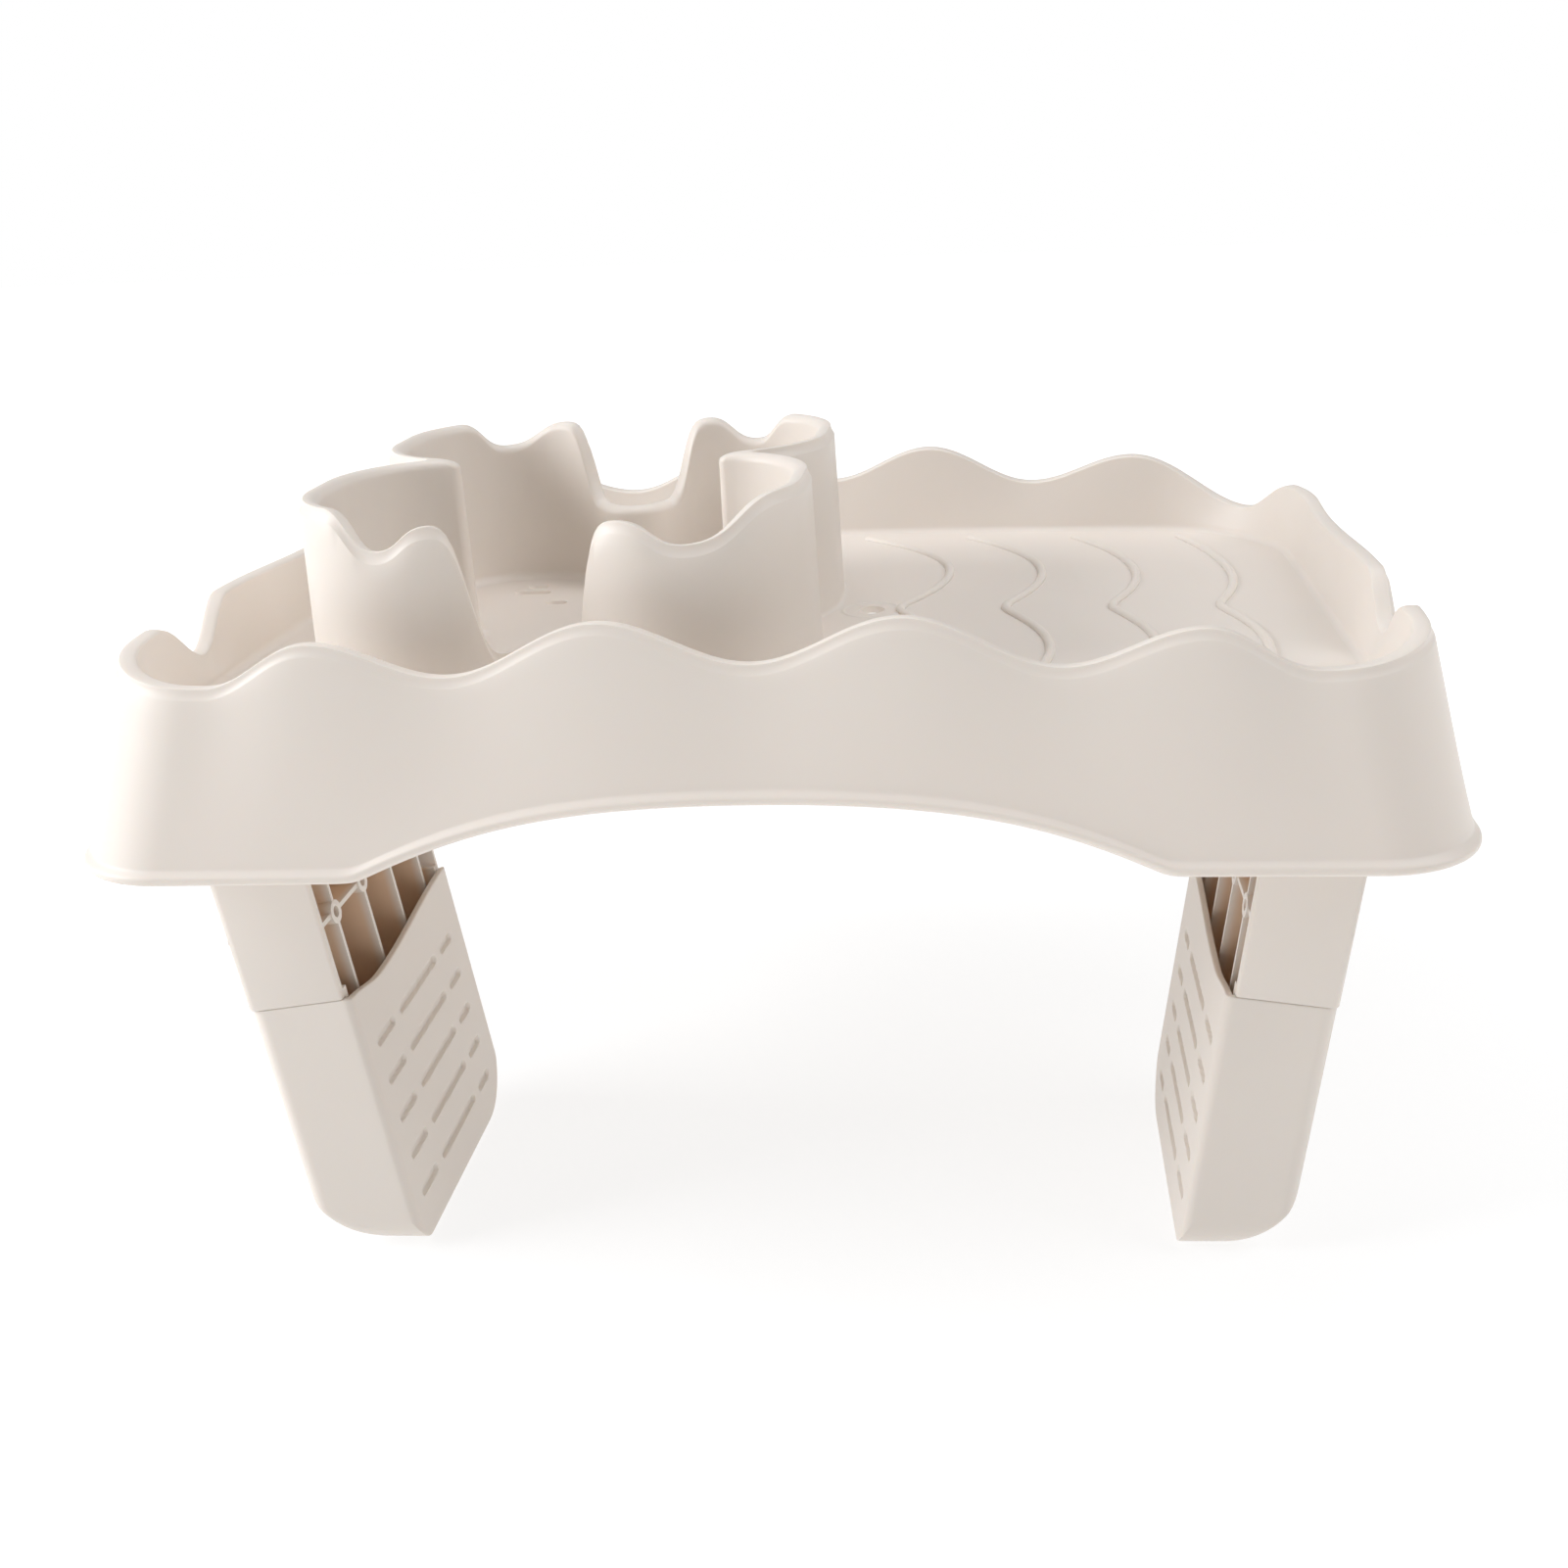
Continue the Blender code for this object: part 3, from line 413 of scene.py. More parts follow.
def rimTopHeights(path):
    # crests and troughs by their place in plan, as seen from the nearest point of the rim
    w = waveShape
    frontCrest, backCrest = np.array(w["crestPitches"]) * w["pitch"]
    frontTrough, backTrough = np.array(w["troughPitches"]) * w["pitch"]
    outerCrest = w["outerCrestPitches"] * w["pitch"]
    knots = [
        (0, rimFrontY, w["middleTrough"]),
        (frontCrest, rimFrontY, w["middleCrest"]),
        (frontTrough, rimFrontY, w["outerTrough"]),
        (outerCrest, rimFrontY, w["outerCrest"]),
        (rimHalfX * w["lastTroughShare"], rimFrontY, w["lastTrough"]),
        (rimHalfX, rimFrontY * w["frontPeakShare"], w["cornerPeak"]),
        (rimHalfX, rimFrontY * w["frontTroughShare"], w["sideTrough"]),
        (rimHalfX, rimFrontY * w["plateauFrontShare"], w["sidePlateau"]),
        (rimHalfX, rimBackY * w["backTroughShare"], w["backSideTrough"]),
        (rimHalfX * w["backPeakAcross"], rimBackY * w["backPeakShare"], w["backPeak"]),
        (rimHalfX * w["backCornerAcross"], rimBackY * w["backCornerShare"], w["backCornerTrough"]),
        (outerCrest, rimBackY, w["outerCrest"]),
        (backTrough, rimBackY, w["outerTrough"]),
        (backCrest, rimBackY, w["middleCrest"]),
        (0, rimBackY, w["middleTrough"]),
    ]
    steps = np.linalg.norm(np.roll(path, -1, axis=0) - path, axis=1)
    travel = np.concatenate([[0], np.cumsum(steps)[:-1]])
    half = len(path) // 2
    right = path[:half + 1]
    places = [travel[np.argmin(np.hypot(right[:, 0] - x, right[:, 1] - y))] for x, y, z in knots]
    rightHalf = halfWave(places, [z for x, y, z in knots], travel[:half + 1])
    return np.concatenate([rightHalf, rightHalf[1:-1][::-1]])


def makeRim():
    # profile of the double wall, carried round the plan:
    # bead, flared skirt, sloped band, rounded top, basin wall, fillet and hollow
    # the bead is a quarter ellipse below and half a cosine wave above, and a sine bows the band
    # the rounded top is a quarter ellipse whose sine and cosine are raised to a power
    # the arch is a power of the place along the edge, joined to the level ends by a hyperbola
    s = trayShape
    path = rimPlan()
    out = normalsOf(path)
    top = rimTopHeights(path)
    start = path + out * s["rimOutside"]
    startZ = top - s["rimDrop"]
    foot = flangePlan(-s["beadReach"])
    lean = foot - path
    lean /= np.linalg.norm(lean, axis=1)[:, None]
    arch = s["archRise"] * (1 - (np.abs(path[:, 0]) / archHalfWidth) ** s["archPower"])
    base = s["flangeHeight"] + (arch + np.sqrt(arch ** 2 + s["archSoftness"] ** 2)) / 2

    def onSkirt(z, shift):
        t = ((startZ - z) / (startZ - s["flangeHeight"]))[:, None]
        return np.column_stack([start + (foot - start) * t + lean * shift, z])

    layers = [onSkirt(base, -s["skin"]), onSkirt(base - s["lip"], -s["skin"] * s["lipShare"]),
              onSkirt(base - s["lip"], 0.0)]
    for angle in np.radians(np.arange(-80, 1, 16)):
        z = base + s["beadHeight"] / 2 * (1 + np.sin(angle))
        layers.append(onSkirt(z, s["beadReach"] * np.cos(angle)))
    low = base + s["beadHeight"] / 2
    for t in np.linspace(0, 1, 11)[1:]:
        wave = 0.5 + 0.5 * cos(pi * t)
        shift = s["skirtFlare"] + (s["beadReach"] - s["skirtFlare"]) * wave
        layers.append(onSkirt(low + s["beadBlend"] * t, shift))
    low = low + s["beadBlend"]
    for t in np.linspace(0, 0.995, 15)[1:] ** 1.5:
        layers.append(onSkirt(low + (startZ - low) * t, s["skirtFlare"] * (1 - t) ** s["skirtFade"]))
    edge = s["edge"]
    for t in [0, 0.02, 0.05] + list(np.linspace(0.1, 0.96, 9)):
        across = s["rimOutside"] - s["rimBand"] * (t + s["bandBow"] * sin(pi * t)) - edge * (1 - t)
        layers.append(withZ(path + out * across, startZ + (s["rimDrop"] - 2 * edge) * t + edge * (1 - t)))
    crown = s["rimOutside"] - s["rimBand"]
    layers.append(withZ(path + out * (crown - edge / 2), top - edge))
    r = s["rimInnerHigh"]
    flat = crown - s["innerGap"]
    for angle in np.radians(np.arange(0, 91, 10)):
        across = flat - (flat + s["rimInside"]) * sin(angle) ** s["innerPower"]
        layers.append(withZ(path + out * across, top - r * (1 - cos(angle) ** s["innerPower"])))
    inset = s["basinInset"]
    fillet = s["floorFillet"]
    for t in np.linspace(0, 1, 9)[1:]:
        depth = s["rimInside"] + (inset - s["rimInside"]) * t
        layers.append(withZ(path - out * depth, top - r + (floorTop + fillet - top + r) * t))
    for angle in np.radians(np.arange(12, 91, 13)):
        layers.append(withZ(path - out * (inset + fillet * (1 - cos(angle))),
                            floorTop + fillet * (1 - sin(angle)) - standSink))
    layers.append(withZ(path - out * (inset + fillet + s["rootDepth"]), floorTop - s["rootDepth"]))
    layers.append(withZ(path - out * (inset + s["rootInside"]), floorUnder - s["rootUnder"]))
    layers.append(withZ(path - out * (inset - s["skin"]), floorUnder - s["rootUnder"]))
    for reach in s["hollowReach"]:
        layers.append(withZ(path + out * reach, top - s["hollowDrop"]))
    return dress(ringLoft("trayRim", layers), trayPlastic, "base", ["tray"])


# cup ring of four lobes
ringShape = {
    "endGap": 0.0557,
    "frontGap": 0.0336,
    "lobeX": 0.0507,
    "lobeNearY": 0.0445,
    "lobeFarY": 0.0632,
    "radius": 0.0491,
    "wall": 0.0076,
    "innerDraft": 0.0008,
    "draft": 0.0015,
    "skin": 0.0022,
    "cuspOuter": 0.003,
    "cuspInner": 0.004,
    "leastCusp": 0.0003,
    "notch": 0.010,
    "frontMarks": ((0.3158, 0.1025, -0.0105), (0.3005, 0.0690, 0),
                   (0.3095, 0.0450, 0.0022), (0.2565, 0.0120, 0.0090)),
    "backMarks": ((0.3158, 0.0960, 0.0040), (0.3035, 0.0725, 0.0045),
                  (0.3143, 0.0434, -0.0012), (0.2773, 0.0140, 0)),
    "steepness": (0, 0.04, 0.04, 0.09, 0),
    "bandHeight": 0.0046,
    "bandShare": 0.22,
    "bandBow": 0.20,
    "bandEnd": 0.02,
    "bandDrop": 0.00005,
    "innerRound": 0.0040,
    "innerPower": 0.9,
    "innerGap": 0.08,
    "outerFillet": 0.0020,
    "innerFillet": 0.0045,
    "rootReach": 0.0004,
    "rootDepth": 0.0005,
    "hollowDrop": 0.0072,
    "planSteps": (12, 24, 6, 60, 18),
}
ringX = -rimHalfX + ringShape["endGap"] + ringShape["lobeX"] + ringShape["radius"]
ringY = rimFrontY + ringShape["frontGap"] + ringShape["lobeFarY"] + ringShape["radius"]


def ringPlan(grow, cuspFillet, notchFillet):
    # one quarter: side cusp, near circle, straight, far circle, notch; then mirrored twice
    s = ringShape
    cuspSteps, nearSteps, straightSteps, farSteps, notchSteps = s["planSteps"]
    radius = s["radius"] + grow
    cuspX = s["lobeX"] + sqrt((radius + cuspFillet) ** 2 - s["lobeNearY"] ** 2)
    notchY = s["lobeFarY"] + sqrt((radius + notchFillet) ** 2 - s["lobeX"] ** 2)
    lead = atan2(-s["lobeNearY"], cuspX - s["lobeX"])
    turn = pi + lead * np.linspace(0, 1, cuspSteps, endpoint=False)
    cusp = np.column_stack([cuspX + cuspFillet * np.cos(turn), cuspFillet * np.sin(turn)])
    turn = lead * (1 - np.linspace(0, 1, nearSteps, endpoint=False))
    near = np.column_stack([s["lobeX"] + radius * np.cos(turn), s["lobeNearY"] + radius * np.sin(turn)])
    run = np.linspace(0, 1, straightSteps, endpoint=False)
    straight = np.column_stack([np.full(straightSteps, s["lobeX"] + radius),
                                s["lobeNearY"] + (s["lobeFarY"] - s["lobeNearY"]) * run])
    last = atan2(notchY - s["lobeFarY"], -s["lobeX"])
    turn = last * np.linspace(0, 1, farSteps, endpoint=False)
    far = np.column_stack([s["lobeX"] + radius * np.cos(turn), s["lobeFarY"] + radius * np.sin(turn)])
    first = last - pi
    turn = first + (-pi / 2 - first) * np.linspace(0, 1, notchSteps + 1)
    notch = np.column_stack([notchFillet * np.cos(turn), notchY + notchFillet * np.sin(turn)])
    notch[-1, 0] = 0
    quarter = np.concatenate([cusp, near, straight, far, notch])
    half = np.concatenate([quarter, quarter[:-1][::-1] * np.array([-1, 1])])
    full = np.concatenate([half, half[1:-1][::-1] * np.array([1, -1])])
    return full + np.array([ringX, ringY]), len(quarter)


def ringTopHeights():
    # level round the sides, then a dip, a crest and the low lip of each notch
    # each mark is a height, its way from the notch's middle, and its shift to the left
    s = ringShape
    path, quarter = ringPlan(0, s["cuspOuter"], s["notch"])
    steps = np.linalg.norm(np.diff(path[:quarter], axis=0), axis=1)
    travel = np.concatenate([[0], np.cumsum(steps)])
    end = travel[-1]

    def quarterHeights(marks, side):
        places = [0] + [end - reach - side * shift for height, reach, shift in marks] + [end]
        heights = [height for height, reach, shift in marks]
        return halfWave(places, [heights[0]] + heights + [heights[-1]], travel, s["steepness"])

    backRight, backLeft = quarterHeights(s["backMarks"], -1), quarterHeights(s["backMarks"], 1)
    frontRight, frontLeft = quarterHeights(s["frontMarks"], -1), quarterHeights(s["frontMarks"], 1)
    return np.concatenate([backRight, backLeft[:-1][::-1], frontLeft[1:], frontRight[1:-1][::-1]])


def ringOuter(grow):
    s = ringShape
    return ringPlan(grow, max(s["cuspOuter"] - grow, s["leastCusp"]), s["notch"] - grow)[0]


def ringInner(grow):
    s = ringShape
    return ringPlan(-s["wall"] - grow, s["cuspInner"] + grow, s["notch"] + s["wall"] + grow)[0]


def makeRing():
    # profile of the ring's wall:
    # foot fillet, outer face, sloped band, rounded top as on the rim, inner face, fillet and hollow
    s = ringShape
    top = ringTopHeights()
    low = floorTop
    outerTop, innerTop = ringOuter(0), ringInner(0)
    outerFoot, innerFoot = ringOuter(s["draft"]), ringInner(s["innerDraft"])
    across = innerTop - outerTop

    def onFace(foot, head, high, fillet, t):
        start = fillet / (high - low)
        blend = (start + t * (1 - start))[:, None]
        z = low + fillet + (high - low - fillet) * t
        return np.column_stack([foot * (1 - blend) + head * blend, z])

    def onFillet(plan, draft, fillet, angle):
        z = low + fillet * (1 - sin(angle)) - standSink
        return withZ(plan(draft + fillet * (1 - cos(angle))), z)

    fillet = s["outerFillet"]
    layers = [withZ(ringOuter(s["draft"] + fillet + s["rootReach"]), low - s["rootDepth"])]
    layers += [onFillet(ringOuter, s["draft"], fillet, angle) for angle in np.radians(np.arange(90, -1, -18))]
    high = top - s["bandHeight"]
    layers += [onFace(outerFoot, outerTop, high, fillet, t) for t in np.linspace(0.12, 1, 8)]
    for t in [0.04, 0.10] + list(np.linspace(0.2, 0.95, 6)):
        shift = s["bandShare"] * (t + s["bandBow"] * sin(pi * t))
        layers.append(withZ(outerTop + across * shift, high + s["bandHeight"] * t))
    layers.append(withZ(outerTop + across * (s["bandShare"] + s["bandEnd"]), top - s["bandDrop"]))
    r = s["innerRound"]
    start = s["bandShare"] + s["innerGap"]
    turn = np.radians(np.arange(0, 91, 9))
    for angle in turn:
        shift = start + (1 - start) * sin(angle) ** s["innerPower"]
        layers.append(withZ(outerTop + across * shift, top - r * (1 - cos(angle) ** s["innerPower"])))
    fillet = s["innerFillet"]
    layers += [onFace(innerFoot, innerTop, top - r, fillet, t) for t in np.linspace(0.95, 0.12, 8)]
    layers += [onFillet(ringInner, s["innerDraft"], fillet, angle) for angle in turn]
    layers.append(withZ(ringInner(s["innerDraft"] + fillet + s["rootReach"]), low - s["rootDepth"]))
    layers.append(withZ(innerFoot, floorUnder))
    layers.append(withZ(ringInner(s["innerDraft"] - s["skin"]), floorUnder))
    layers.append(withZ(innerTop - across * s["skin"] / s["wall"], top - s["hollowDrop"]))
    layers.append(withZ(outerTop + across * s["skin"] / s["wall"], top - s["hollowDrop"]))
    layers.append(withZ(ringOuter(s["draft"] - s["skin"]), floorUnder))
    layers.append(withZ(outerFoot, floorUnder))
    return dress(ringLoft("cupRing", layers), trayPlastic, "base")


makeRim()
makeRing()
print("rim and cup ring made")


# floor with its ridges, drain, slots and screw bosses
floorShape = {
    "ridgeCount": 4,
    "drainGap": 0.0168,
    "firstRidgeGap": 0.0129,
    "lastRidgeGap": 0.0452,
    "ridgeEndGap": 0.0178,
    "ridgeOffset": 0.0025,
    "ridgeWidth": 0.0042,
    "ridgeHeight": 0.0019,
    "ridgePower": 0.9,
    "ridgeRoot": 0.001,
    "rootShare": 0.3,
    "reachFall": 0.012,
    "bulge": 0.143,
    "bulgeFall": 0.0205,
    "drop": 0.245,
    "dropFall": 0.062,
    "widest": 0.420,
    "widestFall": 0.025,
    "tipSoftness": 0.008,
    "drainRadius": 0.006,
    "cutPast": 0.002,
    "ringSeat": 0.0006,
    "collarRadius": 0.0130,
    "collarWidth": 0.0030,
    "collarHeight": 0.0004,
    "collarRoot": 0.0008,
    "slotWidth": 0.0060,
    "longSlot": 0.018,
    "shortSlot": 0.010,
    "slotRow": 0.020,
    "slotStep": 0.011,
    "slotAside": 0.0165,
    "bossRadius": 0.0045,
    "boreRadius": 0.0020,
    "bossEdge": 0.0004,
    "bossFillet": 0.0012,
    "bossRoot": 0.0008,
}
middleY = (rimFrontY + rimBackY) / 2 + floorShape["ridgeOffset"]
drainX = ringX + ringShape["lobeX"] + ringShape["radius"] + floorShape["drainGap"]
ridgeReach = (rimBackY - rimFrontY) / 2 - trayShape["basinInset"] - floorShape["ridgeEndGap"]


def slotOutline(x, y, length, width):  # two half circles joined by straight lines
    half = (length - width) / 2
    turn = np.linspace(-pi / 2, pi / 2, 11)
    cap = np.column_stack([half + width / 2 * np.cos(turn), width / 2 * np.sin(turn)])
    return np.concatenate([cap, -cap]) + np.array([x, y])


def makeFloor():
    s = floorShape
    path = rimPlan()[::2]
    edge = path - normalsOf(path) * (trayShape["basinInset"] - trayShape["skin"] / 2)
    floor = plateFrom("trayFloor", edge, floorUnder, floorTop)
    low, high = floorUnder - s["cutPast"], floorTop + s["cutPast"]
    cutters = [plateFrom("cutter", circleAt(drainX, middleY, s["drainRadius"]), low, high)]
    r = ringShape
    for across in (-1, 1):
        for along in (-1, 1):
            x = ringX + across * r["lobeX"]
            y = ringY + along * (r["lobeNearY"] + r["lobeFarY"]) / 2
            for place, length in (((x, y + along * s["slotRow"]), s["longSlot"]),
                                  ((x, y + along * (s["slotRow"] + s["slotStep"])), s["shortSlot"]),
                                  ((x - across * s["slotAside"], y), s["shortSlot"])):
                cutters.append(plateFrom("cutter", slotOutline(*place, length, s["slotWidth"]), low, high))
    outside, inside = ringOuter(r["draft"] - r["skin"] / 2), ringInner(r["innerDraft"] - r["skin"] / 2)
    seat = floorTop + s["ringSeat"]
    cutters.append(ringLoft("cutter", [withZ(outside, low), withZ(outside, seat),
                                       withZ(inside, seat), withZ(inside, low)]))
    takeOut(floor, cutters)
    dress(floor, trayPlastic, "base")
    bump = np.linspace(-1, 1, 13)
    crown = s["collarHeight"] * (0.5 + 0.5 * np.cos(pi * bump)) + floorTop - standSink
    profile = list(zip(s["collarRadius"] + bump * s["collarWidth"] / 2, crown))
    profile += [(s["collarRadius"], floorTop - s["collarRoot"])]
    collar = latheRing("drainCollar", drainX, middleY, profile, steps=96)
    dress(collar, trayPlastic, "base")


def makeRidges():
    # two scallops that bulge to the right and meet in a soft point at the middle, with a round section
    # each scallop is one parabola up to its widest place and another beyond it
    s = floorShape
    first = drainX + s["firstRidgeGap"]
    last = rimHalfX - trayShape["basinInset"] - s["lastRidgeGap"]
    for index in range(s["ridgeCount"]):
        tip = first + (last - first) * index / (s["ridgeCount"] - 1)
        reach = ridgeReach * (1 - s["reachFall"] * index)
        bulge = ridgeReach * (s["bulge"] - s["bulgeFall"] * index)
        drop = ridgeReach * (s["drop"] - s["dropFall"] * index)
        widest = ridgeReach * (s["widest"] - s["widestFall"] * index)
        y = reach * np.sin(pi / 2 * np.linspace(-1, 1, 281))
        away = np.hypot(y, s["tipSoftness"]) - s["tipSoftness"]
        inside = tip + bulge * (1 - (1 - away / widest) ** 2)
        outside = tip + bulge - (bulge + drop) * ((away - widest) / (reach - widest)) ** 2
        x = np.where(away < widest, inside, outside)
        bend = (trayShape["frontBend"] + trayShape["backBend"]) / 2 * (x / rimHalfX) ** 2
        line = np.column_stack([x, middleY + y - bend])
        ahead = np.gradient(line, axis=0)
        ahead /= np.linalg.norm(ahead, axis=1)[:, None]
        side = np.column_stack([ahead[:, 1], -ahead[:, 0]])
        ending = np.clip((reach - np.abs(y)) / (s["ridgeWidth"] / 2), 0, 1)
        swell = np.sqrt(np.clip(1 - (1 - ending) ** 2, 0.002, 1))
        turn = np.linspace(0, pi, 13)
        root = s["ridgeWidth"] * s["rootShare"]
        wide = np.concatenate([s["ridgeWidth"] / 2 * np.cos(turn), [-root, root]])
        rise = s["ridgeHeight"] * np.sin(turn) ** s["ridgePower"]
        tall = np.concatenate([rise, np.full(2, -s["ridgeRoot"])])
        flat = line[:, None, :] + side[:, None, :] * (wide[None, :] * swell[:, None])[:, :, None]
        height = floorTop - standSink + tall[None, :] * swell[:, None]
        layers = list(np.concatenate([flat, height[:, :, None]], axis=2))
        ridge = shellLoft("floorRidge" + str(index + 1), layers, sharpAngle=50)
        dress(ridge, trayPlastic, "base")


# legs, sleeves and screws share these places; they are drawn upright for the right side and leant outwards
legShape = {
    "lean": radians(7.91),
    "endGap": 0.1020,
    "thickness": 0.041,
    "frontGap": 0.0266,
    "depth": 0.1320,
    "bossHeight": 0.0063,
    "plateThickness": 0.003,
    "plateTab": 0.014,
    "screwShares": (0.02, 0.60),
    "fit": 0.0003,
    "edgeRound": 0.0005,
    "sharpFrom": 40,
    "flatBelow": 0.5,
    # where the painted shade in the pockets begins: its depth from the open side and its inset from the walls
    "shadeDepth": 0.0008,
    "shadeInset": 0.0012,
}
legFootX = trayShape["length"] / 2 - legShape["endGap"]
legFrontY = rimFrontY + legShape["frontGap"]
legBackY = legFrontY + legShape["depth"]
plateTop = floorUnder - legShape["bossHeight"]


def leant(points, side):
    # turned about the foot by the lean, then mirrored for the left side
    angle = legShape["lean"]
    x = legFootX + cos(angle) * points[..., 0] + sin(angle) * points[..., 2]
    z = cos(angle) * points[..., 2] - sin(angle) * points[..., 0]
    return np.stack([side * x, points[..., 1], z], axis=-1)


def screwPlaces():
    inner = legFootX + tan(legShape["lean"]) * plateTop
    places = []
    for side, word in ((-1, "left"), (1, "right")):
        number = 0
        for y in (legFrontY - legShape["plateTab"] / 2, legBackY + legShape["plateTab"] / 2):
            for share in legShape["screwShares"]:
                number += 1
                places.append((word, number, side * (inner + legShape["thickness"] * share), y))
    return places


def makeBosses():
    # tube round each screw below the floor, with a small fillet where it meets the floor
    s = floorShape
    bore, radius, edge, fillet = s["boreRadius"], s["bossRadius"], s["bossEdge"], s["bossFillet"]
    root, low = floorUnder + s["bossRoot"], plateTop + legShape["fit"]
    profile = [(bore, root), (bore, low + edge), (bore + edge, low)]
    profile += [(radius - edge, low), (radius, low + edge)]
    for angle in np.linspace(0, pi / 2, 6):
        profile.append((radius + fillet * (1 - cos(angle)), floorUnder - fillet + fillet * sin(angle)))
    profile.append((radius + fillet, root))
    for word, number, x, y in screwPlaces():
        boss = latheRing("floorBoss" + word.capitalize() + str(number), x, y, profile, steps=40)
        dress(boss, trayPlastic, "base")


makeFloor()
makeRidges()
makeBosses()
print("floor made")


sleeveShape = {
    "panelReach": 0.0035,
    "top": 0.1198,
    "wall": 0.003,
    "innerCorner": 0.0035,
    "outerCorner": 0.0070,
    "leastCorner": 0.0005,
    "sideSteps": (132, 24, 40, 24),
    "footRadii": (0.039, 0.015, 0.035),
    "packedRadii": (0.030, 0.013, 0.013),
    "footFade": 0.060,
    "footCuts": (0.017, 0.021, 0.026, 0.031),
    "footInnerRadius": 0.0025,
    "leastInnerRadius": 0.0008,
    "footPower": 2.5,
    "edgeRound": 0.0006,
    "panelFront": 0.1195,
    "panelDip": 0.1150,
    "panelDipY": -0.108,
    "panelBack": 0.1220,
    "panelEdge": 0.0005,
    "panelFade": 0.0025,
    "grooveRows": 5,
    "grooveDrop": 0.0268,
    "groovePitch": 0.0182,
    "grooveWidth": 0.0044,
    "grooveDepth": 0.0016,
    "grooveFade": 0.0009,
    "grooveShift": 0.2,
    "dashes": ((0, 0.050), (-0.0435, 0.021), (0.0405, 0.016)),
    "wallRows": 190,
}


def sleevePlan(offset):
    # rounded rectangle, anticlockwise from the back of the inner face
    # each corner is a quarter circle, and each straight side has its own number of steps
    s = sleeveShape
    x0, x1 = -s["panelReach"] + offset, legShape["thickness"] - offset
    y0, y1 = legFrontY + offset, legBackY - offset
    small = max(s["innerCorner"] - offset, s["leastCorner"])
    large = max(s["outerCorner"] - offset, s["leastCorner"])
    corners = [(x0, y0, small, (1, 1)), (x1, y0, large, (-1, 1)), (x1, y1, large, (-1, -1)),
               (x0, y1, small, (1, -1))]
    arcs = []
    for (x, y, radius, signs), first in zip(corners, (pi, 1.5 * pi, 0, pi / 2)):
        turn = first + pi / 2 * np.linspace(0, 1, 9)
        centre = np.array([x + signs[0] * radius, y + signs[1] * radius])
        arcs.append(centre + radius * np.column_stack([np.cos(turn), np.sin(turn)]))
    parts = []
    for k, steps in enumerate(s["sideSteps"]):
        run = np.linspace(0, 1, steps, endpoint=False)[1:, None]
        start = arcs[k - 1][-1]
        parts += [start + (arcs[k][0] - start) * run, arcs[k]]
    return np.concatenate(parts)


def footHeight(points, offset, radii=None):
    # level foot, plus the power sum of three quarter-round rises: outer edge, both ends and inner edge
    s = sleeveShape
    slope, turned = tan(legShape["lean"]), cos(legShape["lean"])
    x, y = points[:, 0], points[:, 1]
    line = x * slope + offset / turned
    radius, frontRadius, backRadius = radii or s["footRadii"]
    centreX = legShape["thickness"] - radius
    centreZ = centreX * slope + radius / turned
    radius = radius - offset
    arc = centreZ - np.sqrt(np.clip(radius ** 2 - (x - centreX) ** 2, 0, None))
    outer = np.where(x > centreX + radius * sin(legShape["lean"]), np.clip(arc - line, 0, None), 0)

    def rise(distance, radius):
        d = np.clip(distance, 0, radius)
        return radius - np.sqrt(np.clip(radius ** 2 - (radius - d) ** 2, 0, None))

    front = rise(y - legFrontY - offset, frontRadius - offset)
    ends = front + rise(legBackY - y - offset, backRadius - offset)
    inner = rise(x + s["panelReach"] - offset, max(s["footInnerRadius"] - offset, s["leastInnerRadius"]))
    power = s["footPower"]
    return line + (outer ** power + ends ** power + inner ** power) ** (1 / power)


def followFoot(work, side):
    # moves the foot of a leg's copy up along the leg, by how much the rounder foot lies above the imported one
    # the move fades out evenly over a set height
    s = sleeveShape
    for gap in s["footCuts"]:
        for y in (legFrontY + gap, legBackY - gap):
            parts = work.verts[:] + work.edges[:] + work.faces[:]
            bmesh.ops.bisect_plane(work, geom=parts, plane_co=(0, y, 0), plane_no=(0, 1, 0))
    work.verts.ensure_lookup_table()
    at = np.array([v.co for v in work.verts], float)
    angle = legShape["lean"]
    x = side * at[:, 0] - legFootX
    inLeg = np.column_stack([cos(angle) * x - sin(angle) * at[:, 2], at[:, 1]])
    along = sin(angle) * x + cos(angle) * at[:, 2]
    packed = footHeight(inLeg, s["wall"], s["packedRadii"])
    fade = np.clip(1 - (along - packed) / s["footFade"], 0, 1)
    move = np.clip(footHeight(inLeg, s["wall"]) - packed, 0, None) * fade
    for vert, up in zip(work.verts, move):
        vert.co += Vector((side * sin(angle), 0, cos(angle))) * up


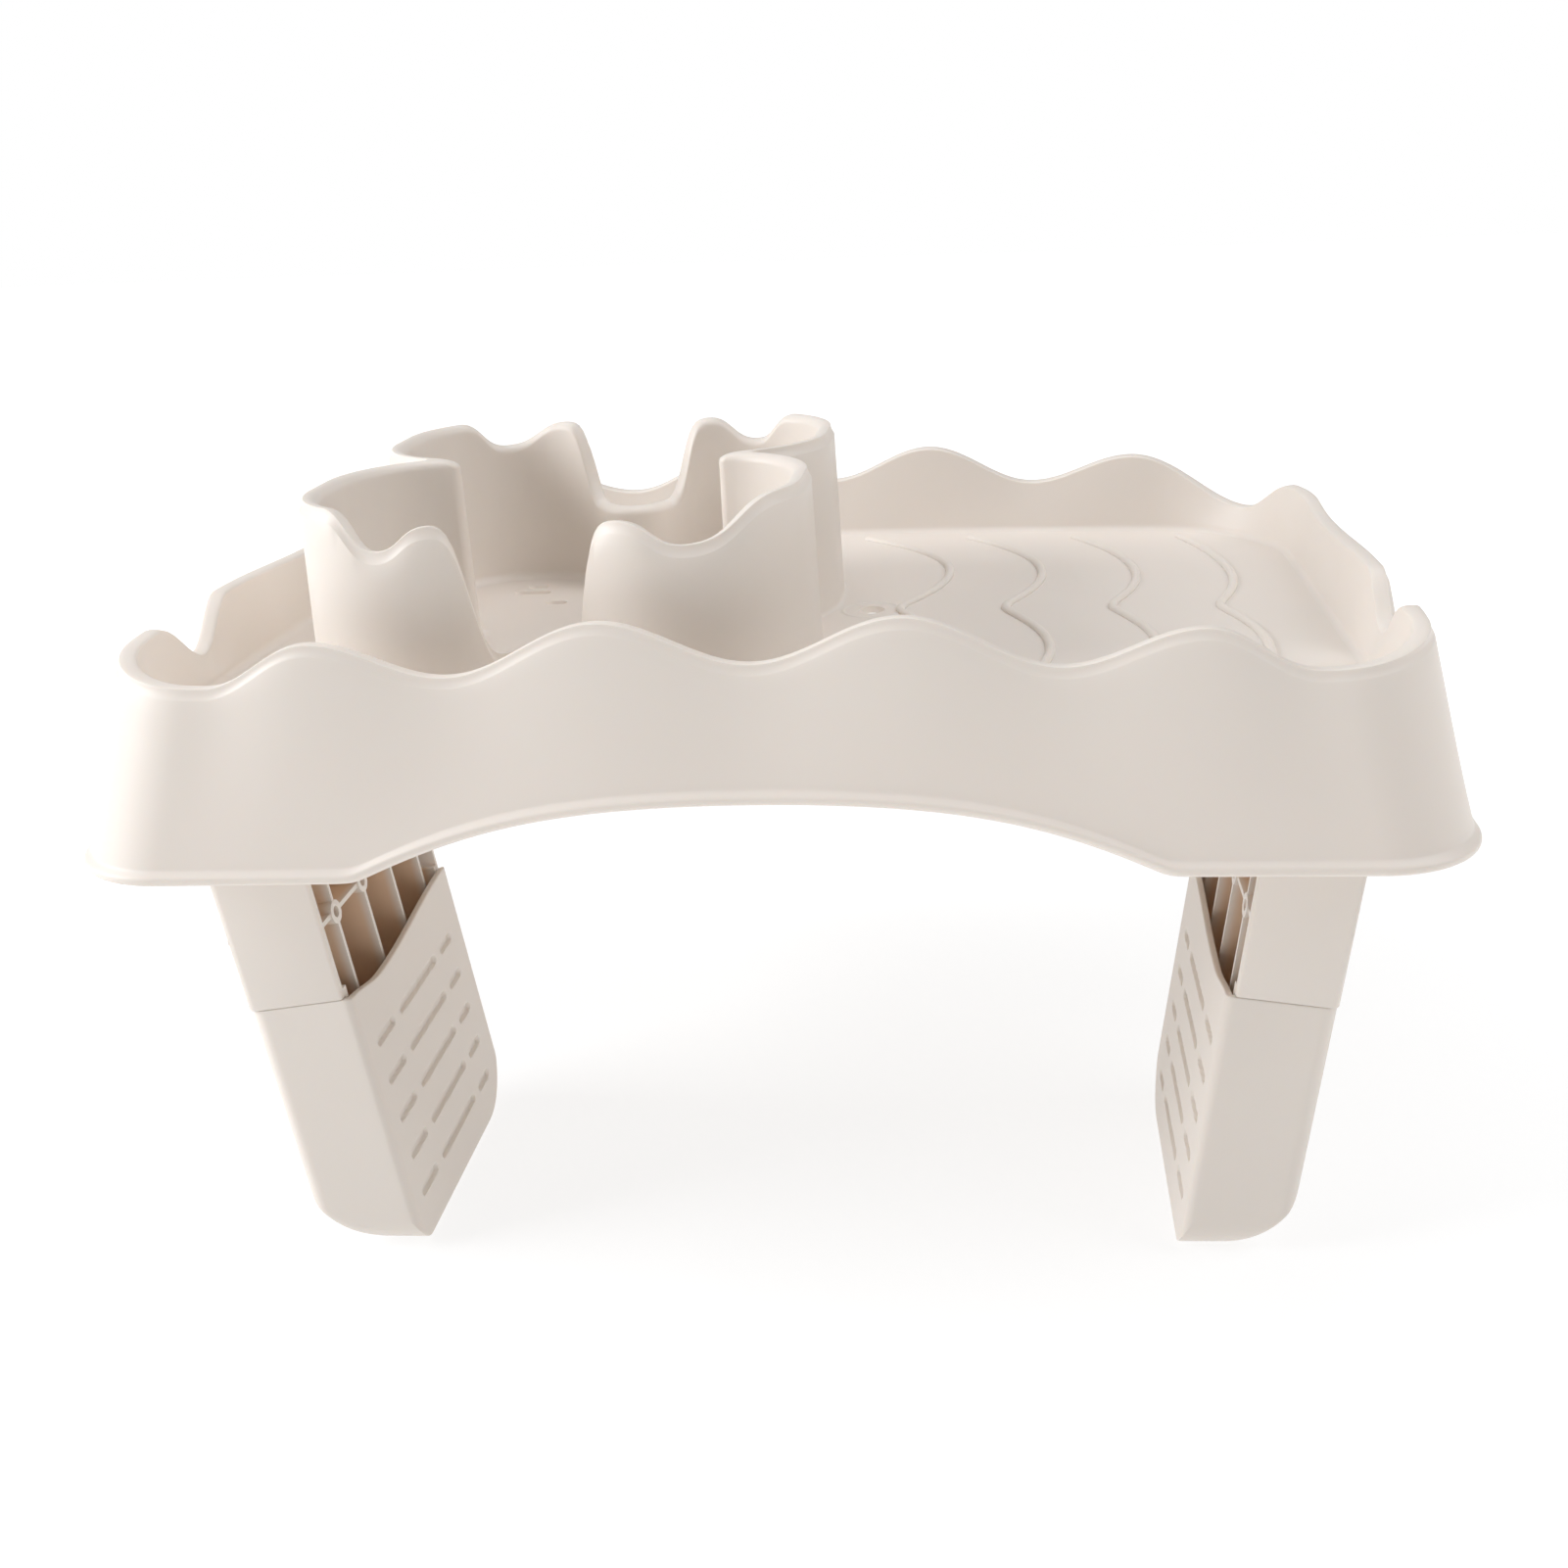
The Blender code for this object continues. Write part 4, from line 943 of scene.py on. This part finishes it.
def makeLegs():
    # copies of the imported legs, with their loose triangles merged and every hard edge rounded
    s = legShape
    inWall = sleeveShape["wall"] + s["shadeInset"]  # the painted pocket shade starts inside the walls of the narrow lower half
    shadedPockets = (s["shadeDepth"], s["thickness"] - inWall, legFrontY + inWall, legBackY - inWall)
    legPlasticPaintedShade = ivoryPlastic("legPlasticPaintedShade", shadedPockets=shadedPockets)
    for side, word in ((-1, "left"), (1, "right")):
        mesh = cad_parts[word + "_leg"].data.copy()
        work = bmesh.new()
        work.from_mesh(mesh)
        bmesh.ops.remove_doubles(work, verts=work.verts, dist=1e-6)
        followFoot(work, side)
        flat = radians(s["flatBelow"])
        bmesh.ops.dissolve_limit(work, angle_limit=flat, verts=work.verts, edges=work.edges)
        work.to_mesh(mesh)
        work.free()
        leg = bpy.data.objects.new(word + "LegBody", mesh)
        bpy.context.scene.collection.objects.link(leg)
        step = leg.modifiers.new("edges", "BEVEL")
        step.width = s["edgeRound"]
        step.segments = 2
        step.limit_method = "ANGLE"
        step.angle_limit = radians(s["sharpFrom"])
        step.use_clamp_overlap = True
        applySteps(leg)
        dress(leg, legPlasticPaintedShade, "base", [word + "_leg"])


def sleeveTop(points):
    # level, but the proud inner panel dips near its front and rises to the back
    s = sleeveShape
    heights = [s["panelFront"], s["panelDip"], s["panelBack"]]
    panel = halfWave([legFrontY, s["panelDipY"], legBackY], heights, points[:, 1])
    share = smoothStep((-s["panelEdge"] - points[:, 0]) / s["panelFade"])
    return s["top"] + (panel - s["top"]) * share


def grooveDepth(y, z):
    # rows of one long and two short dashes: depth by the distance to each dash's middle line
    s = sleeveShape
    middle = (legFrontY + legBackY) / 2
    depth = np.zeros(y.shape)
    for row in range(s["grooveRows"]):
        level = s["top"] - s["grooveDrop"] - row * s["groovePitch"]
        for shift, length in s["dashes"]:
            half = (length - s["grooveWidth"]) / 2
            away = np.hypot(np.clip(np.abs(y - middle - shift) - half, 0, None), z - level)
            inward = (s["grooveWidth"] / 2 - away) / s["grooveFade"] + s["grooveShift"]
            depth = np.maximum(depth, smoothStep(inward))
    return depth * s["grooveDepth"]


def makeSleeves():
    # a closed cup: outer foot, outer wall, rounded top edge, inner wall, inner foot
    s = sleeveShape
    halfWide = (legShape["thickness"] + s["panelReach"]) / 2
    shrink = np.sin(pi / 2 * np.linspace(0.02, 1, 26))

    def footLayer(offset, share):
        plan = sleevePlan(offset)
        spine = np.column_stack([np.full(len(plan), halfWide - s["panelReach"]),
                                 np.clip(plan[:, 1], legFrontY + halfWide, legBackY - halfWide)])
        flat = spine + (plan - spine) * share
        return withZ(flat, footHeight(flat, offset))

    layers = [footLayer(0, share) for share in shrink]
    plan = sleevePlan(0)
    low = footHeight(plan, 0)
    high = sleeveTop(plan) - s["edgeRound"]
    onPanel = np.abs(plan[:, 0] + s["panelReach"]) < 1e-6
    for t in np.linspace(0, 1, s["wallRows"])[1:]:
        z = low + (high - low) * t
        shift = np.where(onPanel, grooveDepth(plan[:, 1], z), 0)
        layers.append(np.column_stack([plan[:, 0] + shift, plan[:, 1], z]))
    r = s["edgeRound"]
    for angle in np.radians([22, 45, 68, 90]):
        inset = sleevePlan(r * (1 - cos(angle)))
        layers.append(withZ(inset, high + r * sin(angle)))
    for angle in np.radians([90, 68, 45, 22, 0]):
        inset = sleevePlan(s["wall"] - r * (1 - cos(angle)))
        layers.append(withZ(inset, high + r * sin(angle)))
    plan = sleevePlan(s["wall"])
    deep = footHeight(plan, s["wall"])
    for t in np.linspace(1, 0, 12)[1:]:
        layers.append(withZ(plan, deep + (high - deep) * t))
    layers += [footLayer(s["wall"], share) for share in shrink[::-1][1::2]]
    for side, word in ((-1, "left"), (1, "right")):
        sleeve = shellLoft(word + "SleeveBody", list(leant(np.stack(layers), side)), 40)
        dress(sleeve, sleevePlastic, word + "_sleeve_body", [word + "_sleeve"])


screwShape = {
    "shankRadius": 0.0017,
    "headRadius": 0.0040,
    "headHeight": 0.0026,
    "faceShare": 0.72,
    "shoulder": 0.0014,
    "tipRadii": (0.0007, 0.0001),
    "tipGaps": (0.0015, 0.0002, 0.0001),
    "collar": 0.0002,
    "crossFades": (0.0002, 0.0004),
    "crossDepth": 0.0012,
    "crossHalfWidth": 0.00045,
    "crossReach": 0.0019,
}


def makeScrews():
    # profile spun round the axis; the cross recess lifts the face of the head inside two crossed bars
    s = screwShape
    seat = plateTop - legShape["plateThickness"] - legShape["fit"]
    bottom, shank, collar = seat - s["headHeight"], s["shankRadius"], s["collar"]
    face = np.linspace(0.03, s["faceShare"], 22) * s["headRadius"]
    turn = np.linspace(0, pi / 2, 7)[1:]
    rounding = s["faceShare"] * s["headRadius"] + (1 - s["faceShare"]) * s["headRadius"] * np.sin(turn)
    radii = np.concatenate([face, rounding, [s["headRadius"], shank + collar, shank, shank], s["tipRadii"]])
    levels = np.concatenate([np.full(len(face), bottom), bottom + s["shoulder"] * (1 - np.cos(turn)),
                             [seat, seat, seat + collar], floorUnder - np.array(s["tipGaps"])])
    angle = np.linspace(0, 2 * pi, 72, endpoint=False)
    u = radii[:, None] * np.cos(angle)[None, :]
    v = radii[:, None] * np.sin(angle)[None, :]
    longWay = np.maximum(np.abs(u), np.abs(v))
    narrowWay = np.minimum(np.abs(u), np.abs(v))
    cut = smoothStep((s["crossHalfWidth"] - narrowWay) / s["crossFades"][0] + 0.5)
    cut = cut * smoothStep((s["crossReach"] - longWay) / s["crossFades"][1] + 0.5)
    cut[len(face):] = 0
    z = levels[:, None] + s["crossDepth"] * cut
    for word, number, x, y in screwPlaces():
        points = np.stack([x + u, y + v, z], axis=-1)
        screw = shellLoft("screw" + word.capitalize() + str(number), list(points), 35)
        nodeName = "screw_" + word + "_" + str(number)
        dress(screw, steel, "base", [nodeName])


makeLegs()
makeSleeves()
makeScrews()
print("legs, sleeves and screws made")


# studio floor, light and camera
studioLook = {
    "floorReach": 6.0,
    "floorDrop": 0.0002,
    "floorRoughness": 0.8,
    "floorColour": (0.26, 0.26, 0.26, 1),
    "nearGlow": 0.77,
    "farGlow": 1.0,
    "glowStart": 0.30,
    "glowEnd": 0.95,
    "worldColour": (1.0, 0.975, 0.945, 1),
    "worldStrength": 0.34,
    "lightColour": (0.95, 0.97, 1.0),
    "target": (0, 0, 0.2),
    "lights": (("keyLight", (-1.8, -0.40, 1.0), 1.2, 1.0, 34),
               ("fillLight", (1.6, -0.35, 1.8), 1.2, 1.2, 15),
               ("topLight", (0.1, 0.3, 2.2), 2.0, 1.6, 14)),
}


def makeStage():
    reach = studioLook["floorReach"]
    corners = [(-reach, -reach, 0), (reach, -reach, 0), (reach, reach, 0), (-reach, reach, 0)]
    floor = bpy.data.meshes.new("studioFloor")
    floor.from_pydata(corners, [], [(0, 1, 2, 3)])
    stageFloor = bpy.data.objects.new("studioFloor", floor)
    bpy.context.scene.collection.objects.link(stageFloor)
    stageFloor.location = (0, 0, -studioLook["floorDrop"])
    pale = bpy.data.materials.new("paleFloor")
    pale.use_nodes = True
    tree = pale.node_tree
    shader = tree.nodes["Principled BSDF"]
    setInputs(shader, {"Base Color": studioLook["floorColour"], "Roughness": studioLook["floorRoughness"],
                       "Emission Color": (1, 1, 1, 1)})
    place = tree.nodes.new("ShaderNodeTexCoord")
    away = tree.nodes.new("ShaderNodeVectorMath")
    away.operation = "LENGTH"
    glow = tree.nodes.new("ShaderNodeMapRange")  # the sweep gets lighter away from the tray
    glow.interpolation_type = "SMOOTHSTEP"
    setInputs(glow, {"From Min": studioLook["glowStart"], "From Max": studioLook["glowEnd"],
                     "To Min": studioLook["nearGlow"], "To Max": studioLook["farGlow"]})
    tree.links.new(place.outputs["Object"], away.inputs[0])
    tree.links.new(away.outputs["Value"], glow.inputs["Value"])
    tree.links.new(glow.outputs["Result"], shader.inputs["Emission Strength"])
    floor.materials.append(pale)


def softLight(name, place, width, height, power):
    data = bpy.data.lights.new(name, "AREA")
    data.shape = "RECTANGLE"
    data.size = width
    data.size_y = height
    data.energy = power
    data.color = studioLook["lightColour"]
    light = bpy.data.objects.new(name, data)
    light.location = place
    light.rotation_mode = "QUATERNION"
    light.rotation_quaternion = (Vector(studioLook["target"]) - Vector(place)).to_track_quat("-Z", "Y")
    bpy.context.scene.collection.objects.link(light)


def makeLights():
    world = bpy.data.worlds.new("studio")
    bpy.context.scene.world = world
    world.use_nodes = True
    tree = world.node_tree
    soft = tree.nodes["Background"]
    setInputs(soft, {"Color": studioLook["worldColour"], "Strength": studioLook["worldStrength"]})
    white = tree.nodes.new("ShaderNodeBackground")
    setInputs(white, {"Color": (1, 1, 1, 1)})
    choice = tree.nodes.new("ShaderNodeMixShader")  # soft light on the object, plain white behind it
    tree.links.new(tree.nodes.new("ShaderNodeLightPath").outputs["Is Camera Ray"], choice.inputs["Fac"])
    tree.links.new(soft.outputs["Background"], choice.inputs[1])
    tree.links.new(white.outputs["Background"], choice.inputs[2])
    tree.links.new(choice.outputs["Shader"], tree.nodes["World Output"].inputs["Surface"])
    for row in studioLook["lights"]:
        softLight(*row)
    bpy.context.scene.view_settings.view_transform = "Standard"


cameraLook = {
    "place": (0.08872, -0.75962, 0.44103),
    "yaw": -0.07831,
    "pitch": 0.33516,
    "roll": -0.04001,
    "focalPixels": 1786.93,
    "centre": (890.27, 758.66),
    "frameWidth": 1601,
    "sensorWidth": 36,
}


def makeCamera():
    c = cameraLook
    forward = Vector((sin(c["yaw"]) * cos(c["pitch"]), cos(c["yaw"]) * cos(c["pitch"]), -sin(c["pitch"])))
    right = Vector((cos(c["yaw"]), -sin(c["yaw"]), 0))
    up = right.cross(forward)
    turnedRight = right * cos(c["roll"]) + up * sin(c["roll"])
    turnedUp = up * cos(c["roll"]) - right * sin(c["roll"])
    data = bpy.data.cameras.new("photoCamera")
    data.sensor_width = c["sensorWidth"]
    data.lens = c["focalPixels"] * c["sensorWidth"] / c["frameWidth"]
    data.shift_x = (c["frameWidth"] / 2 - c["centre"][0]) / c["frameWidth"]
    data.shift_y = (c["centre"][1] - c["frameWidth"] / 2) / c["frameWidth"]
    camera = bpy.data.objects.new("photoCamera", data)
    bpy.context.scene.collection.objects.link(camera)
    camera.matrix_world = Matrix.Translation(c["place"]) @ Matrix(
        (turnedRight, turnedUp, -forward)).transposed().to_4x4()
    bpy.context.scene.camera = camera


makeStage()
makeLights()
makeCamera()
print("stage, lights and camera made")
